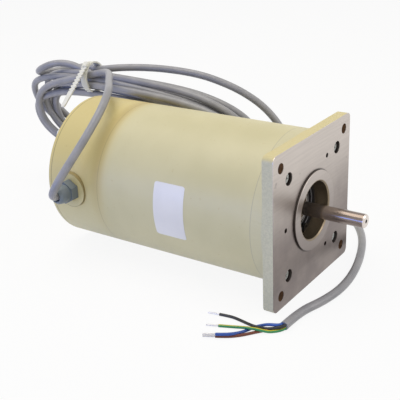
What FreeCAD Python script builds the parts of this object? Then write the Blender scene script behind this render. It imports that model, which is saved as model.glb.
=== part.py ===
"""Flange-mounted hybrid stepper motor with a round painted body, a rotor on ball bearings and a cable.

Origin: centre of the flange's front face, on the shaft axis.
Axes: +X out along the shaft, +Z up. The motor lies on one edge of its flange. Millimetres.
"""
import FreeCAD
import Part
import Sketcher
import math
import os
import re
from FreeCAD import Placement, Rotation, Vector

DRIVING_SIZES = {
    # Front casting: square flange, round pilot, boss and spigot
    "flange_overhang": 0.5,
    "flange_thickness": 7.94,
    "flange_corner": 4.0,
    "bolt_spacing": 88.9,
    "bolt_hole": 7.14,
    "pilot_diameter": 55.52,
    "pilot_height": 1.58,
    "pilot_chamfer": 0.3,
    "mouth_chamfer": 0.75,
    "boss_length": 9.76,
    "spigot_length": 4.0,
    "hub_wall": 7.0,
    "hub_lip": 3.0,
    "tapped_hole": 3.4,
    "tapped_circle": 76.2,
    "tapped_depth": 11.0,
    # Housing tube and rear chamber
    "body_diameter": 107.0,
    "housing_length": 127.3,
    "housing_wall": 11.5,
    "register_clearance": 0.05,
    "cover_length": 44.6,
    "cover_wall": 4.0,
    "plate_thickness": 2.8,
    "plate_edge": 0.5,
    "column_diameter": 9.0,
    "bell_rim": 4.0,
    "bell_clearance": 0.3,
    # Bearings, circlip and preload washer
    "bearing_outer": 40.0,
    "bearing_bore": 17.0,
    "bearing_width": 12.0,
    "bearing_ring": 3.2,
    "bearing_recess": 10.5,
    "bearing_inset": 11.0,
    "bearing_radius": 0.6,
    "shield_setback": 0.6,
    "shield_thickness": 0.8,
    "shield_clearance": 0.3,
    "ball_diameter": 6.7,
    "ball_count": 8,
    "ball_clearance": 0.06,
    "cage_height": 2.1,
    "cage_front": 1.2,
    "cage_back": 4.2,
    "circlip_thickness": 1.75,
    "circlip_height": 3.0,
    "circlip_seat": 1.0,
    "circlip_gap": 8.0,
    "circlip_lug": 5.0,
    "circlip_hole": 2.0,
    "washer_thickness": 1.2,
    "washer_height": 3.4,
    # Rotor
    "shaft_diameter": 9.525,
    "shaft_reach": 38.1,
    "shaft_chamfer": 0.7,
    "centre_hole": 2.6,
    "centre_depth": 3.2,
    "shaft_shoulder": 1.2,
    "shaft_tail": 5.0,
    "rotor_seat": 20.0,
    "rotor_teeth": 50,
    "rotor_slot": 1.75,
    "rotor_slot_depth": 1.6,
    "rotor_front": 42.0,
    "cup_length": 36.0,
    "magnet_thickness": 4.0,
    "magnet_inset": 3.0,
    "seat_clearance": 0.02,
    # Stator
    "air_gap": 0.5,
    "stator_overlap": 1.0,
    "pole_count": 8,
    "pole_width": 13.0,
    "back_iron": 5.0,
    "pole_depth": 8.95,
    "shoe_tip": 2.0,
    "shoe_height": 3.0,
    "slot_opening": 4.4,
    "pole_slot": 1.9,
    "pole_slot_depth": 1.3,
    "insulator_thickness": 1.0,
    "winding_width": 3.6,
    "winding_clearance": 0.3,
    "winding_corner": 2.4,
    # Screws
    "flange_screw_inset": 5.35,
    "screw_thread": 4.0,
    "screw_head": 7.8,
    "screw_head_height": 2.6,
    "screw_dome": 0.7,
    "screw_grip": 12.0,
    "counterbore": 8.8,
    "counterbore_depth": 5.6,
    "thread_clearance": 0.1,
    "bell_screw_inset": 7.5,
    "bell_screw_head": 6.6,
    "cover_screw_inset": 5.35,
    # Cable gland in the rear cover's side
    "gland_setback": 24.5,
    "gland_rise": 0.8,
    "pad_diameter": 26.2,
    "pad_height": 1.5,
    "pad_depth": 6.0,
    "gland_thread": 12.5,
    "gland_hex": 15.0,
    "gland_hex_length": 6.5,
    "gland_chamfer": 0.8,
    "gland_bore": 8.6,
    "gland_neck": 10.6,
    "gland_neck_length": 4.0,
    "dome_diameter": 13.6,
    "dome_mouth": 9.6,
    "dome_length": 9.0,
    "dome_taper": 5.0,
    "dome_flare": 3.6,
    "dome_wall": 0.9,
    "dome_clearance": 0.2,
    "seal_length": 9.0,
    "locknut_hex": 17.0,
    "locknut_thickness": 4.0,
    # Terminal block inside the rear cover
    "block_length": 28.0,
    "block_width": 12.0,
    "block_height": 12.0,
    "block_clearance": 1.5,
    "terminal_pitch": 6.4,
    "terminal_count": 4,
    "terminal_well": 4.6,
    "terminal_well_depth": 3.0,
    "terminal_screw": 4.0,
    "terminal_screw_height": 1.8,
    # Cable, coil and tie
    "cable_diameter": 5.9,
    "cable_entry_reach": 6.0,
    "core_diameter": 2.0,
    "strand_diameter": 1.3,
    "strand_length": 8.0,
    "cable_clearance": 0.15,
    "coil_radius": 46.7,
    "coil_straight": 140.0,
    "coil_bundle": 25.0,
    "coil_lean": 20.0,
    "coil_tilt": 3.4,
    "coil_shift": 194.5,
    "coil_clearance": 0.5,
    "tie_shift": 43.0,
    "tie_width": 5.0,
    "tie_thickness": 1.3,
    "tie_head": 8.0,
    "tie_tail": 50.0,
    "tie_head_turn": 5.0,
    "tie_tail_turn": 11.0,
}

doc = FreeCAD.newDocument("stepper_motor")
sheet = doc.addObject("Spreadsheet::Sheet", "Sizes")
for row, (alias, number) in enumerate(DRIVING_SIZES.items(), start=1):
    sheet.set(f"A{row}", alias)
    sheet.set(f"B{row}", str(number))
    sheet.setAlias(f"B{row}", alias)
doc.recompute()

# Stations along the shaft axis and radii that several pieces share
HOUSING_FRONT = "(0 - flange_thickness - boss_length)"
HOUSING_REAR = f"({HOUSING_FRONT} - housing_length)"
COVER_REAR = f"({HOUSING_REAR} - cover_length)"
PLATE_REAR = f"({COVER_REAR} - plate_thickness)"
BODY_RADIUS = "(body_diameter / 2)"
HALF_FLANGE = f"({BODY_RADIUS} + flange_overhang)"
HOUSING_BORE = "(body_diameter / 2 - housing_wall)"
SPIGOT_RADIUS = f"({HOUSING_BORE} - register_clearance)"
COVER_BORE = "(body_diameter / 2 - cover_wall)"
BEARING_RADIUS = "(bearing_outer / 2)"
OUTER_RING_INSIDE = "(bearing_outer / 2 - bearing_ring)"
INNER_RING_OUTSIDE = "(bearing_bore / 2 + bearing_ring)"
FRONT_BEARING_BACK = "(0 - bearing_recess - bearing_width)"
HUB_BACK = f"({FRONT_BEARING_BACK} - hub_lip)"
HUB_RADIUS = "(bearing_outer / 2 + hub_wall)"
REAR_BEARING_FRONT = f"({HOUSING_REAR} + bearing_inset)"
REAR_BEARING_BACK = f"({REAR_BEARING_FRONT} - bearing_width)"
BELL_FRONT = f"({REAR_BEARING_FRONT} + hub_lip)"
BELL_RIM_BACK = f"({HOUSING_REAR} - bell_rim)"
BELL_SHOULDER = f"({REAR_BEARING_BACK} - washer_thickness)"
BELL_BACK = f"({BELL_SHOULDER} - hub_lip)"
ROTOR_FRONT = "(0 - rotor_front)"
MAGNET_FRONT = f"({ROTOR_FRONT} - cup_length)"
MAGNET_BACK = f"({MAGNET_FRONT} - magnet_thickness)"
ROTOR_BACK = f"({MAGNET_BACK} - cup_length)"
STATOR_FRONT = f"({ROTOR_FRONT} - stator_overlap)"
STATOR_BACK = f"({ROTOR_BACK} + stator_overlap)"
STATOR_LENGTH = f"({STATOR_FRONT} - {STATOR_BACK})"
IRON_INSIDE = f"({SPIGOT_RADIUS} - back_iron)"
POLE_BORE = f"({IRON_INSIDE} - pole_depth)"
POLE_FOOT = f"({POLE_BORE} + shoe_height)"
ROTOR_RADIUS = f"({POLE_BORE} - air_gap)"
HALF_POLE = "(180 / pole_count)"
POLE_ROOT = f"sqrt({IRON_INSIDE} ^ 2 - (pole_width / 2) ^ 2)"
SLOT_BOTTOM = f"(cos({HALF_POLE}) * {POLE_ROOT} + sin({HALF_POLE}) * pole_width / 2)"
FLANGE_SCREW_SPACING = f"(sqrt(2) * ({BODY_RADIUS} - flange_screw_inset))"
BELL_SCREW_REACH = f"({BODY_RADIUS} - bell_screw_inset)"
COVER_SCREW_REACH = f"({BODY_RADIUS} - cover_screw_inset)"
BLOCK_HIGH = f"(0 - {HUB_RADIUS} - block_clearance)"
GLAND_STATION = f"({HOUSING_REAR} - gland_setback)"
PAD_FACE = f"({BODY_RADIUS} + pad_height)"
PAD_BACK = f"({PAD_FACE} - pad_depth - pad_height)"
DOME_START = f"({PAD_FACE} + gland_hex_length)"
DOME_END = f"({DOME_START} + dome_length)"
NECK_END = f"({DOME_START} + gland_neck_length)"
CABLE_HOLE = "(cable_diameter / 2 + cable_clearance)"
BALL_CIRCLE = "((bearing_outer + bearing_bore) / 4)"

export_shapes = {}


def size(alias):
    """Return one driving size from the sheet."""
    return float(sheet.get(alias))


def bound(text):
    """Return an expression with every driving size named as a cell of the sheet."""
    return re.sub(r"[a-z_]+", lambda m: f"Sizes.{m[0]}" if m[0] in DRIVING_SIZES else m[0], str(text))


def export(label, shaped):
    """Name an object after its piece and list it for writing."""
    shaped.Label = label
    export_shapes[label] = shaped
    return shaped


def new_body(name):
    """Start a body with its own origin planes."""
    return doc.addObject("PartDesign::Body", name)


def origin_feature(body, role):
    """Return the body's origin plane or axis of that role."""
    return next(item for item in body.Origin.OriginFeatures if item.Role == role)


def new_sketch(body, role, offset="0"):
    """Start a sketch on an origin plane, moved along the plane's normal."""
    sketch = body.newObject("Sketcher::SketchObject", "Sketch")
    sketch.AttachmentSupport = [(origin_feature(body, role), "")]
    sketch.MapMode = "FlatFace"
    sketch.setExpression("AttachmentOffset.Base.z", bound(offset))
    return sketch


def pin_point(sketch, geometry, point, across, up):
    """Tie a sketch point to its two coordinates from the sketch's origin."""
    for kind, coordinate, axis in (("DistanceX", across, -2), ("DistanceY", up, -1)):
        if str(coordinate) == "0":
            sketch.addConstraint(Sketcher.Constraint("PointOnObject", geometry, point, axis))
            continue
        index = sketch.addConstraint(Sketcher.Constraint(kind, -1, 1, geometry, point, 1.0))
        sketch.setExpression(f"Constraints[{index}]", bound(coordinate))


def draw_polygon(sketch, corners):
    """Draw a closed outline of straight edges through corners given as expressions."""
    count = len(corners)
    angles = [2 * math.pi * i / count for i in range(count)]
    start = [Vector(math.cos(angle), math.sin(angle), 0) for angle in angles]
    edges = [sketch.addGeometry(Part.LineSegment(start[i], start[(i + 1) % count])) for i in range(count)]
    for i, edge in enumerate(edges):
        sketch.addConstraint(Sketcher.Constraint("Coincident", edge, 2, edges[(i + 1) % count], 1))
    for edge, (across, up) in zip(edges, corners):
        pin_point(sketch, edge, 1, across, up)


def draw_circle(sketch, across, up, radius):
    """Draw a circle whose centre and radius are expressions."""
    circle = sketch.addGeometry(Part.Circle(Vector(0, 0, 0), Vector(0, 0, 1), 1.0))
    pin_point(sketch, circle, 3, across, up)
    index = sketch.addConstraint(Sketcher.Constraint("Radius", circle, 1.0))
    sketch.setExpression(f"Constraints[{index}]", bound(radius))


def revolve(body, kind, profile=(), circles=()):
    """Add or cut a solid of revolution about the shaft axis from (station, radius) corners or circles."""
    sketch = new_sketch(body, "XZ_Plane")
    if profile:
        draw_polygon(sketch, profile)
    for circle in circles:
        draw_circle(sketch, *circle)
    feature = body.newObject(f"PartDesign::{kind}", kind)
    feature.Profile = sketch
    feature.ReferenceAxis = (sketch, ["H_Axis"])
    feature.Angle = 360
    body.Tip = feature
    return feature


def extrude(body, kind, depth, polygons=(), circles=(), plane="YZ_Plane", at="0"):
    """Pad along a plane's normal, or pocket against it, from outlines drawn off the plane."""
    sketch = new_sketch(body, plane, at)
    for corners in polygons:
        draw_polygon(sketch, corners)
    for circle in circles:
        draw_circle(sketch, *circle)
    feature = body.newObject(f"PartDesign::{kind}", kind)
    feature.Profile = sketch
    feature.setExpression("Length", bound(depth))
    body.Tip = feature
    return feature


def repeat_round_axis(body, features, count):
    """Repeat features evenly round the shaft axis."""
    pattern = body.newObject("PartDesign::PolarPattern", "PolarPattern")
    pattern.Originals = features
    pattern.Axis = (origin_feature(body, "X_Axis"), [""])
    pattern.Angle = 360
    pattern.setExpression("Occurrences", bound(count))
    body.Tip = pattern
    return pattern


def turned(name, profile):
    """Make a body turned about the shaft axis."""
    body = new_body(name)
    revolve(body, "Revolution", profile)
    return body


def group(label, shapes):
    """Gather identical solids under one name."""
    feature = doc.addObject("Part::Feature", label)
    feature.Shape = Part.makeCompound(shapes)
    return export(label, feature)


def rectangle(half_across, half_up):
    """Return the corners of a rectangle centred on the sketch's origin."""
    low_across = f"0 - ({half_across})"
    low_up = f"0 - ({half_up})"
    return [(low_across, low_up), (half_across, low_up), (half_across, half_up), (low_across, half_up)]


def hexagon(across_flats):
    """Return the corners of a hexagon with two corners on the up axis."""
    flat = f"({across_flats} / 2)"
    tip = f"({across_flats} / sqrt(3))"
    right = [(flat, f"0 - {tip} / 2"), (flat, f"{tip} / 2"), ("0", tip)]
    left = [(f"0 - {flat}", f"{tip} / 2"), (f"0 - {flat}", f"0 - {tip} / 2"), ("0", f"0 - {tip}")]
    return right + left


def square_pattern(spacing, radius):
    """Return four circles at the corners of a square."""
    half = f"({spacing} / 2)"
    return [(f"{a}{half}", f"{b}{half}", radius) for a in ("0 + ", "0 - ") for b in ("0 + ", "0 - ")]


def ring_pattern(reach, radius, angles):
    """Return circles at a reach from the axis, at the given angles from +Y."""
    return [(f"{reach} * cos({a})", f"{reach} * sin({a})", radius) for a in angles]


def round_axis(shape, angle):
    """Return a copy turned about the shaft axis."""
    copy = shape.copy()
    copy.rotate(Vector(0, 0, 0), Vector(1, 0, 0), angle)
    return copy


def shifted(shape, along_y, along_z):
    """Return a copy moved across the shaft axis."""
    copy = shape.copy()
    copy.translate(Vector(0, along_y, along_z))
    return copy


def on_gland_axis(body):
    """Place a body turned about +X so that its axis points out of the cover's side."""
    body.Placement = Placement(Vector(0, 0, 0), Rotation(Vector(0, 0, 1), -90))
    body.setExpression("Placement.Base.x", bound(GLAND_STATION))
    body.setExpression("Placement.Base.z", bound("gland_rise"))
    return body


COVER_SCREW_ANGLES = (45, 135, 225, 315)
BELL_SCREW_ANGLES = (0, 90, 180, 270)
TAPPED_ANGLES = (60, 180, 300)
FULL_TURN = 360.0


def make_front_flange():
    """Cast front end: square flange, pilot, round boss, spigot and bearing hub, with every hole."""
    body = new_body("front_flange_body")
    square = rectangle(HALF_FLANGE, HALF_FLANGE)
    extrude(body, "Pad", "flange_thickness", [square], at="0 - flange_thickness")
    doc.recompute()
    plate = body.Tip
    corners = [f"Edge{i}" for i, edge in enumerate(plate.Shape.Edges, 1)
               if abs(edge.tangentAt(edge.FirstParameter).x) > 0.99]
    rounding = body.newObject("PartDesign::Fillet", "Fillet")
    rounding.Base = (plate, corners)
    rounding.setExpression("Radius", bound("flange_corner"))
    body.Tip = rounding
    spigot_back = f"({HOUSING_FRONT} - spigot_length)"
    revolve(body, "Revolution", [
        ("pilot_height", "0"),
        ("pilot_height", "pilot_diameter / 2 - pilot_chamfer"),
        ("pilot_height - pilot_chamfer", "pilot_diameter / 2"),
        ("0 - flange_thickness / 2", "pilot_diameter / 2"),
        ("0 - flange_thickness / 2", BODY_RADIUS),
        (HOUSING_FRONT, BODY_RADIUS),
        (HOUSING_FRONT, SPIGOT_RADIUS),
        (spigot_back, SPIGOT_RADIUS),
        (spigot_back, HUB_RADIUS),
        (HUB_BACK, HUB_RADIUS),
        (HUB_BACK, "0"),
    ])
    groove_front = "(0 - bearing_recess + circlip_thickness)"
    revolve(body, "Groove", [
        ("pilot_height", "0"),
        ("pilot_height", f"{BEARING_RADIUS} + mouth_chamfer"),
        ("pilot_height - mouth_chamfer", BEARING_RADIUS),
        (groove_front, BEARING_RADIUS),
        (groove_front, f"{BEARING_RADIUS} + circlip_seat"),
        ("0 - bearing_recess", f"{BEARING_RADIUS} + circlip_seat"),
        ("0 - bearing_recess", BEARING_RADIUS),
        (FRONT_BEARING_BACK, BEARING_RADIUS),
        (FRONT_BEARING_BACK, OUTER_RING_INSIDE),
        (HUB_BACK, OUTER_RING_INSIDE),
        (HUB_BACK, "0"),
    ])
    extrude(body, "Pocket", "flange_thickness", circles=square_pattern("bolt_spacing", "bolt_hole / 2"))
    counterbores = square_pattern(FLANGE_SCREW_SPACING, "counterbore / 2")
    extrude(body, "Pocket", "counterbore_depth", circles=counterbores)
    screw_holes = square_pattern(FLANGE_SCREW_SPACING, "screw_thread / 2 + thread_clearance")
    extrude(body, "Pocket", "flange_thickness + boss_length", circles=screw_holes)
    tapped_holes = ring_pattern("tapped_circle / 2", "tapped_hole / 2", TAPPED_ANGLES)
    extrude(body, "Pocket", "tapped_depth", circles=tapped_holes)
    return export("front_flange", body)


def make_housing():
    """Plain round tube that holds the stator, with tapped holes in both ends."""
    body = new_body("stator_housing_body")
    tube = [("0", "0", BODY_RADIUS), ("0", "0", HOUSING_BORE)]
    extrude(body, "Pad", "housing_length", circles=tube, at=HOUSING_REAR)
    tapped = "screw_thread / 2 + thread_clearance"
    hole_depth = "screw_grip + 2 * screw_dome"
    front_holes = square_pattern(FLANGE_SCREW_SPACING, tapped)
    extrude(body, "Pocket", hole_depth, circles=front_holes, at=HOUSING_FRONT)
    rear_holes = ring_pattern(BELL_SCREW_REACH, tapped, BELL_SCREW_ANGLES)
    rear_holes += ring_pattern(COVER_SCREW_REACH, tapped, COVER_SCREW_ANGLES)
    extrude(body, "Pocket", hole_depth, circles=rear_holes, at=f"{HOUSING_REAR} + {hole_depth}")
    return export("stator_housing", body)


def make_end_bell():
    """Rear bearing carrier: spigot in the tube, rim on its end, notches for the cover's screw columns."""
    rim = f"({COVER_BORE} - bell_clearance)"
    spigot_front = f"({HOUSING_REAR} + spigot_length)"
    body = turned("rear_end_bell_body", [
        (BELL_FRONT, BEARING_RADIUS),
        (BELL_FRONT, HUB_RADIUS),
        (spigot_front, HUB_RADIUS),
        (spigot_front, SPIGOT_RADIUS),
        (HOUSING_REAR, SPIGOT_RADIUS),
        (HOUSING_REAR, rim),
        (BELL_RIM_BACK, rim),
        (BELL_RIM_BACK, HUB_RADIUS),
        (BELL_BACK, HUB_RADIUS),
        (BELL_BACK, OUTER_RING_INSIDE),
        (BELL_SHOULDER, OUTER_RING_INSIDE),
        (BELL_SHOULDER, BEARING_RADIUS),
    ])
    notch = "column_diameter / 2 + bell_clearance"
    extrude(body, "Pocket", "bell_rim", circles=ring_pattern(COVER_SCREW_REACH, notch, COVER_SCREW_ANGLES),
            at=HOUSING_REAR)
    hole = "screw_thread / 2 + thread_clearance"
    extrude(body, "Pocket", "bell_rim", circles=ring_pattern(BELL_SCREW_REACH, hole, BELL_SCREW_ANGLES),
            at=HOUSING_REAR)
    return export("rear_end_bell", body)


def make_rear_cover():
    """Ring over the rear chamber: screw columns inside, a flat round pad on its side for the gland."""
    body = turned("rear_cover_body", [
        (HOUSING_REAR, COVER_BORE),
        (HOUSING_REAR, BODY_RADIUS),
        (COVER_REAR, BODY_RADIUS),
        (COVER_REAR, COVER_BORE),
    ])
    columns = ring_pattern(COVER_SCREW_REACH, "column_diameter / 2", COVER_SCREW_ANGLES)
    extrude(body, "Pad", "cover_length", circles=columns, at=COVER_REAR)
    pad = [(GLAND_STATION, "gland_rise", "pad_diameter / 2")]
    extrude(body, "Pad", "pad_depth + pad_height", circles=pad, plane="XZ_Plane", at=PAD_BACK)
    hole = [(GLAND_STATION, "gland_rise", "gland_thread / 2 + thread_clearance")]
    extrude(body, "Pocket", "pad_depth + pad_height", circles=hole, plane="XZ_Plane", at=PAD_FACE)
    extrude(body, "Pocket", "cover_length", circles=cover_screw_holes(), at=HOUSING_REAR)
    return export("rear_cover", body)


def cover_screw_holes():
    """Return the circles of the clearance holes for the rear cover's screws."""
    return ring_pattern(COVER_SCREW_REACH, "screw_thread / 2 + thread_clearance", COVER_SCREW_ANGLES)


def make_rear_plate():
    """Flat disc that closes the rear cover."""
    body = turned("rear_plate_body", [
        (COVER_REAR, "0"),
        (COVER_REAR, BODY_RADIUS),
        (f"{PLATE_REAR} + plate_edge", BODY_RADIUS),
        (PLATE_REAR, f"{BODY_RADIUS} - plate_edge"),
        (PLATE_REAR, "0"),
    ])
    extrude(body, "Pocket", "plate_thickness", circles=cover_screw_holes(), at=COVER_REAR)
    return export("rear_plate", body)


def make_lamination(name, front, thickness, inside, grooved):
    """Ring of poles with slots between them and, on the core, fine grooves in each pole's face."""
    body = new_body(f"{name}_body")
    back = f"({front} - {thickness})"
    extrude(body, "Pad", thickness, circles=[("0", "0", SPIGOT_RADIUS), ("0", "0", inside)], at=back)
    side_across = f"sin({HALF_POLE}) * pole_width / 2"
    side_up = f"cos({HALF_POLE}) * pole_width / 2"
    upper = [
        (f"{POLE_BORE} / 2", "slot_opening / 2"),
        (f"{POLE_BORE} + shoe_tip", "slot_opening / 2"),
        (f"cos({HALF_POLE}) * {POLE_FOOT} + {side_across}", f"sin({HALF_POLE}) * {POLE_FOOT} - {side_up}"),
        (SLOT_BOTTOM, f"sin({HALF_POLE}) * {POLE_ROOT} - {side_up}"),
    ]
    lower = [(across, f"0 - ({up})") for across, up in reversed(upper)]
    cuts = [extrude(body, "Pocket", thickness, [upper + lower], at=front)]
    if grooved:
        pitch = "360 / rotor_teeth"
        for step in (-1.5, -0.5, 0.5, 1.5):
            angle = f"({HALF_POLE} + ({step}) * {pitch})"
            corners = []
            for reach, sides in ((f"({POLE_BORE} / 2)", "+-"), (f"({POLE_BORE} + pole_slot_depth)", "-+")):
                for side in sides:
                    across = f"{reach} * cos({angle}) {side} pole_slot / 2 * sin({angle})"
                    other = "-" if side == "+" else "+"
                    up = f"{reach} * sin({angle}) {other} pole_slot / 2 * cos({angle})"
                    corners.append((across, up))
            cuts.append(extrude(body, "Pocket", thickness, [corners], at=front))
    repeat_round_axis(body, cuts, "pole_count")
    return export(name, body)


def make_windings():
    """One wound coil round a pole, repeated on every pole."""
    body = new_body("winding_body")
    clear = f"({STATOR_LENGTH} / 2 + insulator_thickness)"
    narrow = "(pole_width / 2 + winding_clearance)"
    long = f"({clear} + winding_width)"
    wide = f"({narrow} + winding_width)"
    outline = [
        (f"0 - {long}", f"0 - ({wide} - winding_corner)"),
        (f"0 - ({long} - winding_corner)", f"0 - {wide}"),
        (f"{long} - winding_corner", f"0 - {wide}"),
        (long, f"0 - ({wide} - winding_corner)"),
        (long, f"{wide} - winding_corner"),
        (f"{long} - winding_corner", wide),
        (f"0 - ({long} - winding_corner)", wide),
        (f"0 - {long}", f"{wide} - winding_corner"),
    ]
    start = f"({POLE_FOOT} + winding_clearance)"
    end = f"(({SLOT_BOTTOM} - {wide} * sin({HALF_POLE}) - winding_clearance) / cos({HALF_POLE}))"
    outlines = [outline, rectangle(clear, narrow)]
    extrude(body, "Pad", f"{end} - {start}", outlines, plane="XY_Plane", at=start)
    body.setExpression("Placement.Base.x", bound(f"({STATOR_FRONT} + {STATOR_BACK}) / 2"))
    doc.recompute()
    count = round(size("pole_count"))
    first = FULL_TURN / count / 2 - FULL_TURN / 4
    group("stator_windings", [round_axis(body.Shape, first + FULL_TURN * i / count) for i in range(count)])


def make_rotor_cup(name, front, turned_by):
    """Toothed iron cup with a boss on the shaft; the two cups stand half a tooth apart."""
    body = turned(f"{name}_body", [
        (front, "rotor_seat / 2 + seat_clearance"),
        (front, ROTOR_RADIUS),
        (f"{front} - cup_length", ROTOR_RADIUS),
        (f"{front} - cup_length", "rotor_seat / 2 + seat_clearance"),
    ])
    bottom = f"{ROTOR_RADIUS} - rotor_slot_depth"
    mouth = f"{ROTOR_RADIUS} + rotor_slot_depth"
    slot = [(bottom, "0 - rotor_slot / 2"), (mouth, "0 - rotor_slot / 2"),
            (mouth, "rotor_slot / 2"), (bottom, "rotor_slot / 2")]
    cut = extrude(body, "Pocket", "cup_length", [slot], at=front)
    repeat_round_axis(body, [cut], "rotor_teeth")
    body.Placement = Placement(Vector(0, 0, 0), Rotation(Vector(1, 0, 0), turned_by))
    return export(name, body)


def make_shaft():
    """Stepped shaft: slim output end with a centre hole, journals and a rotor seat between shoulders."""
    step = "(0 - bearing_recess + shaft_shoulder)"
    tail = f"({REAR_BEARING_BACK} - shaft_tail)"
    journal = "bearing_bore / 2"
    body = turned("shaft_body", [
        ("shaft_reach - centre_depth", "0"),
        ("shaft_reach", "centre_hole / 2"),
        ("shaft_reach", "shaft_diameter / 2 - shaft_chamfer"),
        ("shaft_reach - shaft_chamfer", "shaft_diameter / 2"),
        (step, "shaft_diameter / 2"),
        (step, f"{journal} - shaft_chamfer"),
        (f"{step} - shaft_chamfer", journal),
        (FRONT_BEARING_BACK, journal),
        (FRONT_BEARING_BACK, "rotor_seat / 2"),
        (REAR_BEARING_FRONT, "rotor_seat / 2"),
        (REAR_BEARING_FRONT, journal),
        (f"{tail} + shaft_chamfer", journal),
        (tail, f"{journal} - shaft_chamfer"),
        (tail, "0"),
    ])
    return export("shaft", body)


def make_magnet():
    """Axially magnetised disc between the two rotor cups."""
    body = turned("rotor_magnet_body", [
        (MAGNET_FRONT, "rotor_seat / 2 + seat_clearance"),
        (MAGNET_FRONT, f"{ROTOR_RADIUS} - magnet_inset"),
        (MAGNET_BACK, f"{ROTOR_RADIUS} - magnet_inset"),
        (MAGNET_BACK, "rotor_seat / 2 + seat_clearance"),
    ])
    return export("rotor_magnet", body)


def make_bearing(name, front, back):
    """Shielded ball bearing: outer ring with a shield at each face, and the inner ring on the shaft."""
    shield_front = f"({front} - shield_setback)"
    shield_back = f"({back} + shield_setback)"
    lip = f"({INNER_RING_OUTSIDE} + shield_clearance)"
    outer = turned(f"{name}_outer_body", [
        (f"{front} - bearing_radius", BEARING_RADIUS),
        (f"{back} + bearing_radius", BEARING_RADIUS),
        (back, f"{BEARING_RADIUS} - bearing_radius"),
        (back, OUTER_RING_INSIDE),
        (shield_back, OUTER_RING_INSIDE),
        (shield_back, lip),
        (f"{shield_back} + shield_thickness", lip),
        (f"{shield_back} + shield_thickness", OUTER_RING_INSIDE),
        (f"{shield_front} - shield_thickness", OUTER_RING_INSIDE),
        (f"{shield_front} - shield_thickness", lip),
        (shield_front, lip),
        (shield_front, OUTER_RING_INSIDE),
        (front, OUTER_RING_INSIDE),
        (front, f"{BEARING_RADIUS} - bearing_radius"),
    ])
    seat = "(bearing_bore / 2 + seat_clearance)"
    inner = turned(f"{name}_inner_body", [
        (front, f"{seat} + bearing_radius"),
        (f"{front} - bearing_radius", seat),
        (f"{back} + bearing_radius", seat),
        (back, f"{seat} + bearing_radius"),
        (back, INNER_RING_OUTSIDE),
        (front, INNER_RING_OUTSIDE),
    ])
    middle = f"(({front} + {back}) / 2)"
    for ring in (outer, inner):
        revolve(ring, "Groove", circles=[(middle, BALL_CIRCLE, "ball_diameter / 2 + ball_clearance")])
    export(f"{name}_outer_ring", outer)
    export(f"{name}_inner_ring", inner)
    make_balls(name, middle)


def ball_ring(name, middle, radius):
    """Return the shapes of one ring of spheres on a bearing's ball circle, with their poles in and out."""
    ball = doc.addObject("Part::Sphere", name)
    ball.Placement = Placement(Vector(0, 0, 0), Rotation(Vector(1, 0, 0), 90))
    ball.setExpression("Radius", bound(radius))
    ball.setExpression("Placement.Base.x", bound(middle))
    ball.setExpression("Placement.Base.y", bound(BALL_CIRCLE))
    doc.recompute()
    count = round(size("ball_count"))
    return [round_axis(ball.Shape, FULL_TURN * i / count) for i in range(count)]


def make_balls(name, middle):
    """Ring of balls between the two raceways, held apart by a one-piece snap cage."""
    group(f"{name}_balls", ball_ring(f"{name}_ball", middle, "ball_diameter / 2"))
    ring = turned(f"{name}_cage_body", [
        (f"{middle} + cage_front", f"{BALL_CIRCLE} - cage_height / 2"),
        (f"{middle} + cage_front", f"{BALL_CIRCLE} + cage_height / 2"),
        (f"{middle} - cage_back", f"{BALL_CIRCLE} + cage_height / 2"),
        (f"{middle} - cage_back", f"{BALL_CIRCLE} - cage_height / 2"),
    ])
    doc.recompute()
    pockets = ball_ring(f"{name}_pocket", middle, "ball_diameter / 2 + ball_clearance")
    group(f"{name}_cage", ring.Shape.cut(pockets).Solids)


def make_circlip():
    """Open spring ring in the groove before the front bearing, with a holed lug at each end."""
    body = new_body("bearing_circlip_body")
    outer = f"({BEARING_RADIUS} + circlip_seat - seat_clearance)"
    inner = f"({outer} - circlip_height)"
    back = "(0 - bearing_recess)"
    front = f"({back} + circlip_thickness)"
    extrude(body, "Pad", "circlip_thickness", circles=[("0", "0", outer), ("0", "0", inner)], at=back)
    below = f"0 - {BEARING_RADIUS} - circlip_gap"
    gap = [("0 - circlip_gap / 2", below), ("circlip_gap / 2", below),
           ("circlip_gap / 2", "0"), ("0 - circlip_gap / 2", "0")]
    extrude(body, "Pocket", "circlip_thickness", [gap], at=front)
    side = "((circlip_gap + circlip_lug) / 2)"
    drop = f"0 - sqrt({inner} ^ 2 - {side} ^ 2)"
    for kind, diameter, station in (("Pad", "circlip_lug", back), ("Pocket", "circlip_hole", front)):
        ends = [(f"{sign} {side}", drop, f"{diameter} / 2") for sign in ("0 +", "0 -")]
        extrude(body, kind, "circlip_thickness", circles=ends, at=station)
    return export("bearing_circlip", body)


def make_preload_washer():
    """Spring washer that pushes the rear bearing forward."""
    body = turned("preload_washer_body", [
        (REAR_BEARING_BACK, f"{BEARING_RADIUS} - shield_clearance"),
        (BELL_SHOULDER, f"{BEARING_RADIUS} - shield_clearance"),
        (BELL_SHOULDER, f"{BEARING_RADIUS} - washer_height"),
        (REAR_BEARING_BACK, f"{BEARING_RADIUS} - washer_height"),
    ])
    return export("preload_washer", body)


def screw_profile(seat, direction, head):
    """Return the corners of a pan-head screw whose head stands on a seat and whose thread points in."""
    top = f"({seat} + ({direction}) * screw_head_height)"
    return [
        (top, "0"),
        (top, f"{head} / 2 - screw_dome"),
        (f"{top} - ({direction}) * screw_dome", f"{head} / 2"),
        (seat, f"{head} / 2"),
        (seat, "screw_thread / 2"),
    ]


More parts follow.
